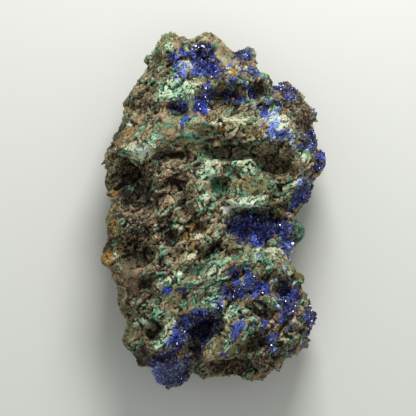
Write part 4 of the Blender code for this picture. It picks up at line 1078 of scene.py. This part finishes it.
def scatter(name, tree, meshes, slot, node=None, **values):
    """One piece of small shapes scattered over the rock."""
    shelf = bpy.data.collections.new(name + " shapes")
    for i, mesh in enumerate(meshes):
        shelf.objects.link(bpy.data.objects.new(f"{name} shape {i}", mesh))
    piece = new_object(name, bpy.data.objects["matrix_rock_surface"].data.copy())
    piece.data.name = name
    run_tree(piece, tree, {"Shapes": shelf, **values})
    for shape in list(shelf.objects):
        bpy.data.objects.remove(shape)
    bpy.data.collections.remove(shelf)
    if len(piece.data.polygons) == 0:
        raise RuntimeError(f"nothing was scattered for {name}")
    keep_in_box(piece.data)
    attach(piece, "root")
    if node:
        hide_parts(node)


def keep_in_box(mesh):
    """Draws in what would stand out of the rough form's own box."""
    low, high = (np.array(corner) for corner in CAD_BOX)
    points = np.clip(positions(mesh), low, high)
    mesh.vertices.foreach_set("co", points.astype(np.float32).ravel())
    mesh.update()


def named_value(net, name, kind="FLOAT"):
    """A mesh attribute in a geometry tree."""
    return net.node("GeometryNodeInputNamedAttribute", {"Name": name}, data_type=kind).outputs[0]


def channels(net, name):
    """A colour attribute's three channels in a geometry tree."""
    return net.node("FunctionNodeSeparateColor", {0: named_value(net, name, "FLOAT_COLOR")}).outputs[:3]


def patchiness(net, scale, low, high):
    """A broad noise that thins a scatter here and there."""
    place = net.node("GeometryNodeInputPosition").outputs[0]
    return net.stretch(net.clouds(place, scale), low, high)


def film_cover(net, amount, channel):
    """Where a speckled film of the rock shows, from the same noise that its material uses."""
    place = named_value(net, "rest", "FLOAT_VECTOR")
    source = net.node("FunctionNodeSeparateColor", {0: mosaic(net, place)}).outputs[channel]
    return speckle(net, amount, source, 1.0, 0.08)


def blue_cover(net):
    """Where the blue film shows, less on what stands proud."""
    relief = net.less(named_value(net, "relief"))
    return film_cover(net, net.total(channels(net, "film")[1], (relief, -0.3)), 1)


class SPECIMEN_OT_matrix_rock(bpy.types.Operator):
    """Make the matrix rock with its relief and films"""

    bl_idname = "specimen.matrix_rock"
    bl_label = "Matrix Rock"

    def execute(self, context):
        settings = context.scene.specimen_rock
        mesh = frame["nodes"]["matrix_rock"].data.copy()
        mesh.name = "matrix_rock_surface"
        shape = bmesh.new()
        shape.from_mesh(mesh)
        bmesh.ops.remove_doubles(shape, verts=shape.verts, dist=WELD)
        shape.to_mesh(mesh)
        shape.free()
        piece = new_object("matrix_rock_surface", mesh)
        remesh = piece.modifiers.new("Remesh", "REMESH")
        remesh.mode = "VOXEL"
        remesh.voxel_size = settings.voxel
        soften = piece.modifiers.new("Smooth", "SMOOTH")
        soften.iterations = settings.smoothing
        soften.factor = 0.5
        bake_modifiers(piece)
        points = positions(piece.data)
        home = piece.data.attributes.new("home", "FLOAT_VECTOR", "POINT")
        home.data.foreach_set("vector", points.astype(np.float32).ravel())
        layers, streak, _ = films(points)
        set_colours(piece.data, "habit", (layers[:, BRIGHT], layers[:, SMOOTH], streak))
        values = {name: getattr(settings, name.lower().replace(" ", "_")) for name in RELIEF_INPUTS}
        run_tree(piece, relief_tree(), values)
        count = sum(len(polygon.vertices) - 2 for polygon in piece.data.polygons)
        if count > settings.triangles:
            back = piece.vertex_groups.new(name="back")
            hidden = FACE_THINNING + (1 - FACE_THINNING) * smooth_step(MAP_HIGH, MAP_LOW, points[:, 2])
            for i, weight in enumerate(hidden):
                back.add([i], float(weight), "REPLACE")
            thin = piece.modifiers.new("Decimate", "DECIMATE")
            thin.vertex_group = "back"
            thin.ratio = settings.triangles / count
            bake_modifiers(piece)
            piece.vertex_groups.clear()
        paint(piece.data)
        piece.data.materials.clear()
        piece.data.materials.append(rock_material())
        piece.data.polygons.foreach_set("use_smooth", [True] * len(piece.data.polygons))
        keep_in_box(piece.data)
        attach(piece, "root")
        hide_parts("matrix_rock")
        return {"FINISHED"}


class SPECIMEN_OT_azurite_druses(bpy.types.Operator):
    """Grow the azurite druses in the hollows and along the edges"""

    bl_idname = "specimen.azurite_druses"
    bl_label = "Azurite Druses"

    def execute(self, context):
        def density(net, given):
            own = net.math("COMPARE", named_value(net, "crust_number", "INT"), given["Crust Number"], 0.5)
            return net.times(net.times(own, named_value(net, "druse")), blue_cover(net))

        tree = grains_tree("Druse", density)
        shapes = crystal_shapes()
        for i, (node, size, spacing, tilt) in enumerate(DRUSES):
            scatter(
                node + "_druse", tree, shapes, "azurite", node, Size=size * MM, Spacing=spacing * MM,
                Tilt=math.radians(tilt), Seed=i, **{"Crust Number": i, "Material": azurite_material()},
            )
        return {"FINISHED"}


class SPECIMEN_OT_azurite_specks(bpy.types.Operator):
    """Scatter small azurite crystals over the blue films"""

    bl_idname = "specimen.azurite_specks"
    bl_label = "Azurite Specks"

    def execute(self, context):
        settings = context.scene.specimen_grains

        def density(net, given):
            bare = net.less(1.0, named_value(net, "druse"))
            return net.times(blue_cover(net), bare)

        scatter(
            "azurite_specks", grains_tree("Azurite Specks", density), crystal_shapes(), "azurite",
            Size=settings.speck, Spacing=settings.speck_spacing, Tilt=math.radians(45), Seed=21,
            Material=azurite_material(),
        )
        return {"FINISHED"}


class SPECIMEN_OT_rock_crumbs(bpy.types.Operator):
    """Scatter crumbs of matrix over the rough rock"""

    bl_idname = "specimen.rock_crumbs"
    bl_label = "Rock Crumbs"

    def execute(self, context):
        settings = context.scene.specimen_grains

        def density(net, given):
            blue = channels(net, "film")[1]
            smooth = channels(net, "habit")[1]
            cover = net.times(net.stretch(blue, 0.8, 0.5), net.stretch(smooth, 0.5, 0.1))
            return net.times(cover, patchiness(net, CRUMB_SCALE, 0.54, 0.66))

        scatter(
            "matrix_rock_crumbs", grains_tree("Rock Crumbs", density), pebble_shapes(0.8), "matrix_rock",
            Size=settings.crumb, Spacing=settings.crumb_spacing, Tilt=math.radians(60), Seed=31,
            Material=rock_material(),
        )
        return {"FINISHED"}


class SPECIMEN_OT_malachite_beads(bpy.types.Operator):
    """Scatter small malachite beads over the green films"""

    bl_idname = "specimen.malachite_beads"
    bl_label = "Malachite Beads"

    def execute(self, context):
        settings = context.scene.specimen_grains

        def density(net, given):
            green = channels(net, "film")[0]
            smooth = channels(net, "habit")[1]
            cover = net.times(film_cover(net, green, 0), net.stretch(smooth, 0.7, 0.2))
            return net.times(cover, patchiness(net, BEAD_SCALE, 0.53, 0.64))

        scatter(
            "malachite_beads", grains_tree("Malachite Beads", density), pebble_shapes(0.7), "matrix_rock",
            Size=settings.bead, Spacing=settings.bead_spacing, Tilt=math.radians(20), Seed=41,
            Material=rock_material(),
        )
        return {"FINISHED"}


class SPECIMEN_OT_stage(bpy.types.Operator):
    """Set the floor, the lights and the camera"""

    bl_idname = "specimen.stage"
    bl_label = "Stage"

    def execute(self, context):
        settings = context.scene.specimen_stage
        scene = context.scene
        scene.view_settings.view_transform = "Standard"
        mesh = bpy.data.meshes.new("floor")
        level = CAD_BOX[0].z - FLOOR_GAP
        corners = [(x * FLOOR_HALF, y * FLOOR_HALF, level) for x, y in ((-1, -1), (1, -1), (1, 1), (-1, 1))]
        mesh.from_pydata(corners, [], [(0, 1, 2, 3)])
        floor = new_object("floor", mesh)
        material, net, shader = new_material("pale floor")
        feed(net, shader, Base_Color=(*settings.floor, 1), Roughness=0.9)
        floor.data.materials.append(material)
        middle = (CAD_BOX[0] + CAD_BOX[1]) / 2
        for name, power, size, place in (
            ("key light", settings.key, 0.15, (0.04, 0.26, 0.25)),
            ("fill light", settings.fill, 0.9, (0.12, -0.05, 1.10)),
        ):
            lamp = bpy.data.lights.new(name, "AREA")
            lamp.energy = power
            lamp.size = size
            light = new_object(name, lamp)
            light.location = Vector(place)
            light.rotation_euler = (middle - light.location).to_track_quat("-Z", "Y").to_euler()
        scene.world = bpy.data.worlds.new("studio")
        scene.world.use_nodes = True
        around = scene.world.node_tree.nodes["Background"]
        around.inputs["Color"].default_value = (0.98, 1.0, 0.98, 1)
        around.inputs["Strength"].default_value = settings.world
        lens = bpy.data.cameras.new("camera")
        lens.sensor_width = 36
        lens.lens = lens.sensor_width * settings.distance / settings.view
        lens.clip_end = 10
        camera = new_object("camera", lens)
        across = (MAP_MIDDLE - MAP_ORIGIN[0]) * MAP_STEP
        up = (MAP_ORIGIN[1] - MAP_MIDDLE) * MAP_STEP
        camera.location = (across, up, FACE_HEIGHT + settings.distance)
        scene.camera = camera
        return {"FINISHED"}


class SPECIMEN_PT_panel(bpy.types.Panel):
    """Lists the specimen's pieces and their settings"""

    bl_idname = "SPECIMEN_PT_panel"
    bl_label = "Azurite Specimen"
    bl_space_type = "VIEW_3D"
    bl_region_type = "UI"
    bl_category = "Specimen"

    def draw(self, context):
        for made in OPERATORS:
            self.layout.operator(made.bl_idname)
        for name in SETTINGS:
            box = self.layout.box()
            group = getattr(context.scene, name)
            for key in group.bl_rna.properties.keys():
                if key not in ("rna_type", "name"):
                    box.prop(group, key)


OPERATORS = (
    SPECIMEN_OT_matrix_rock,
    SPECIMEN_OT_azurite_druses,
    SPECIMEN_OT_azurite_specks,
    SPECIMEN_OT_rock_crumbs,
    SPECIMEN_OT_malachite_beads,
    SPECIMEN_OT_stage,
)
SETTINGS = {
    "specimen_rock": RockSettings,
    "specimen_films": FilmSettings,
    "specimen_grains": GrainSettings,
    "specimen_stage": StageSettings,
}


def register():
    for kind in (*SETTINGS.values(), *OPERATORS, SPECIMEN_PT_panel):
        bpy.utils.register_class(kind)
    for name, kind in SETTINGS.items():
        setattr(bpy.types.Scene, name, PointerProperty(type=kind))


def unregister():
    for name in SETTINGS:
        delattr(bpy.types.Scene, name)
    for kind in reversed((*SETTINGS.values(), *OPERATORS, SPECIMEN_PT_panel)):
        bpy.utils.unregister_class(kind)


def main():
    register()
    bpy.ops.specimen.matrix_rock()
    bpy.ops.specimen.azurite_druses()
    bpy.ops.specimen.azurite_specks()
    bpy.ops.specimen.rock_crumbs()
    bpy.ops.specimen.malachite_beads()
    bpy.ops.specimen.stage()


if __name__ == "__main__":
    main()
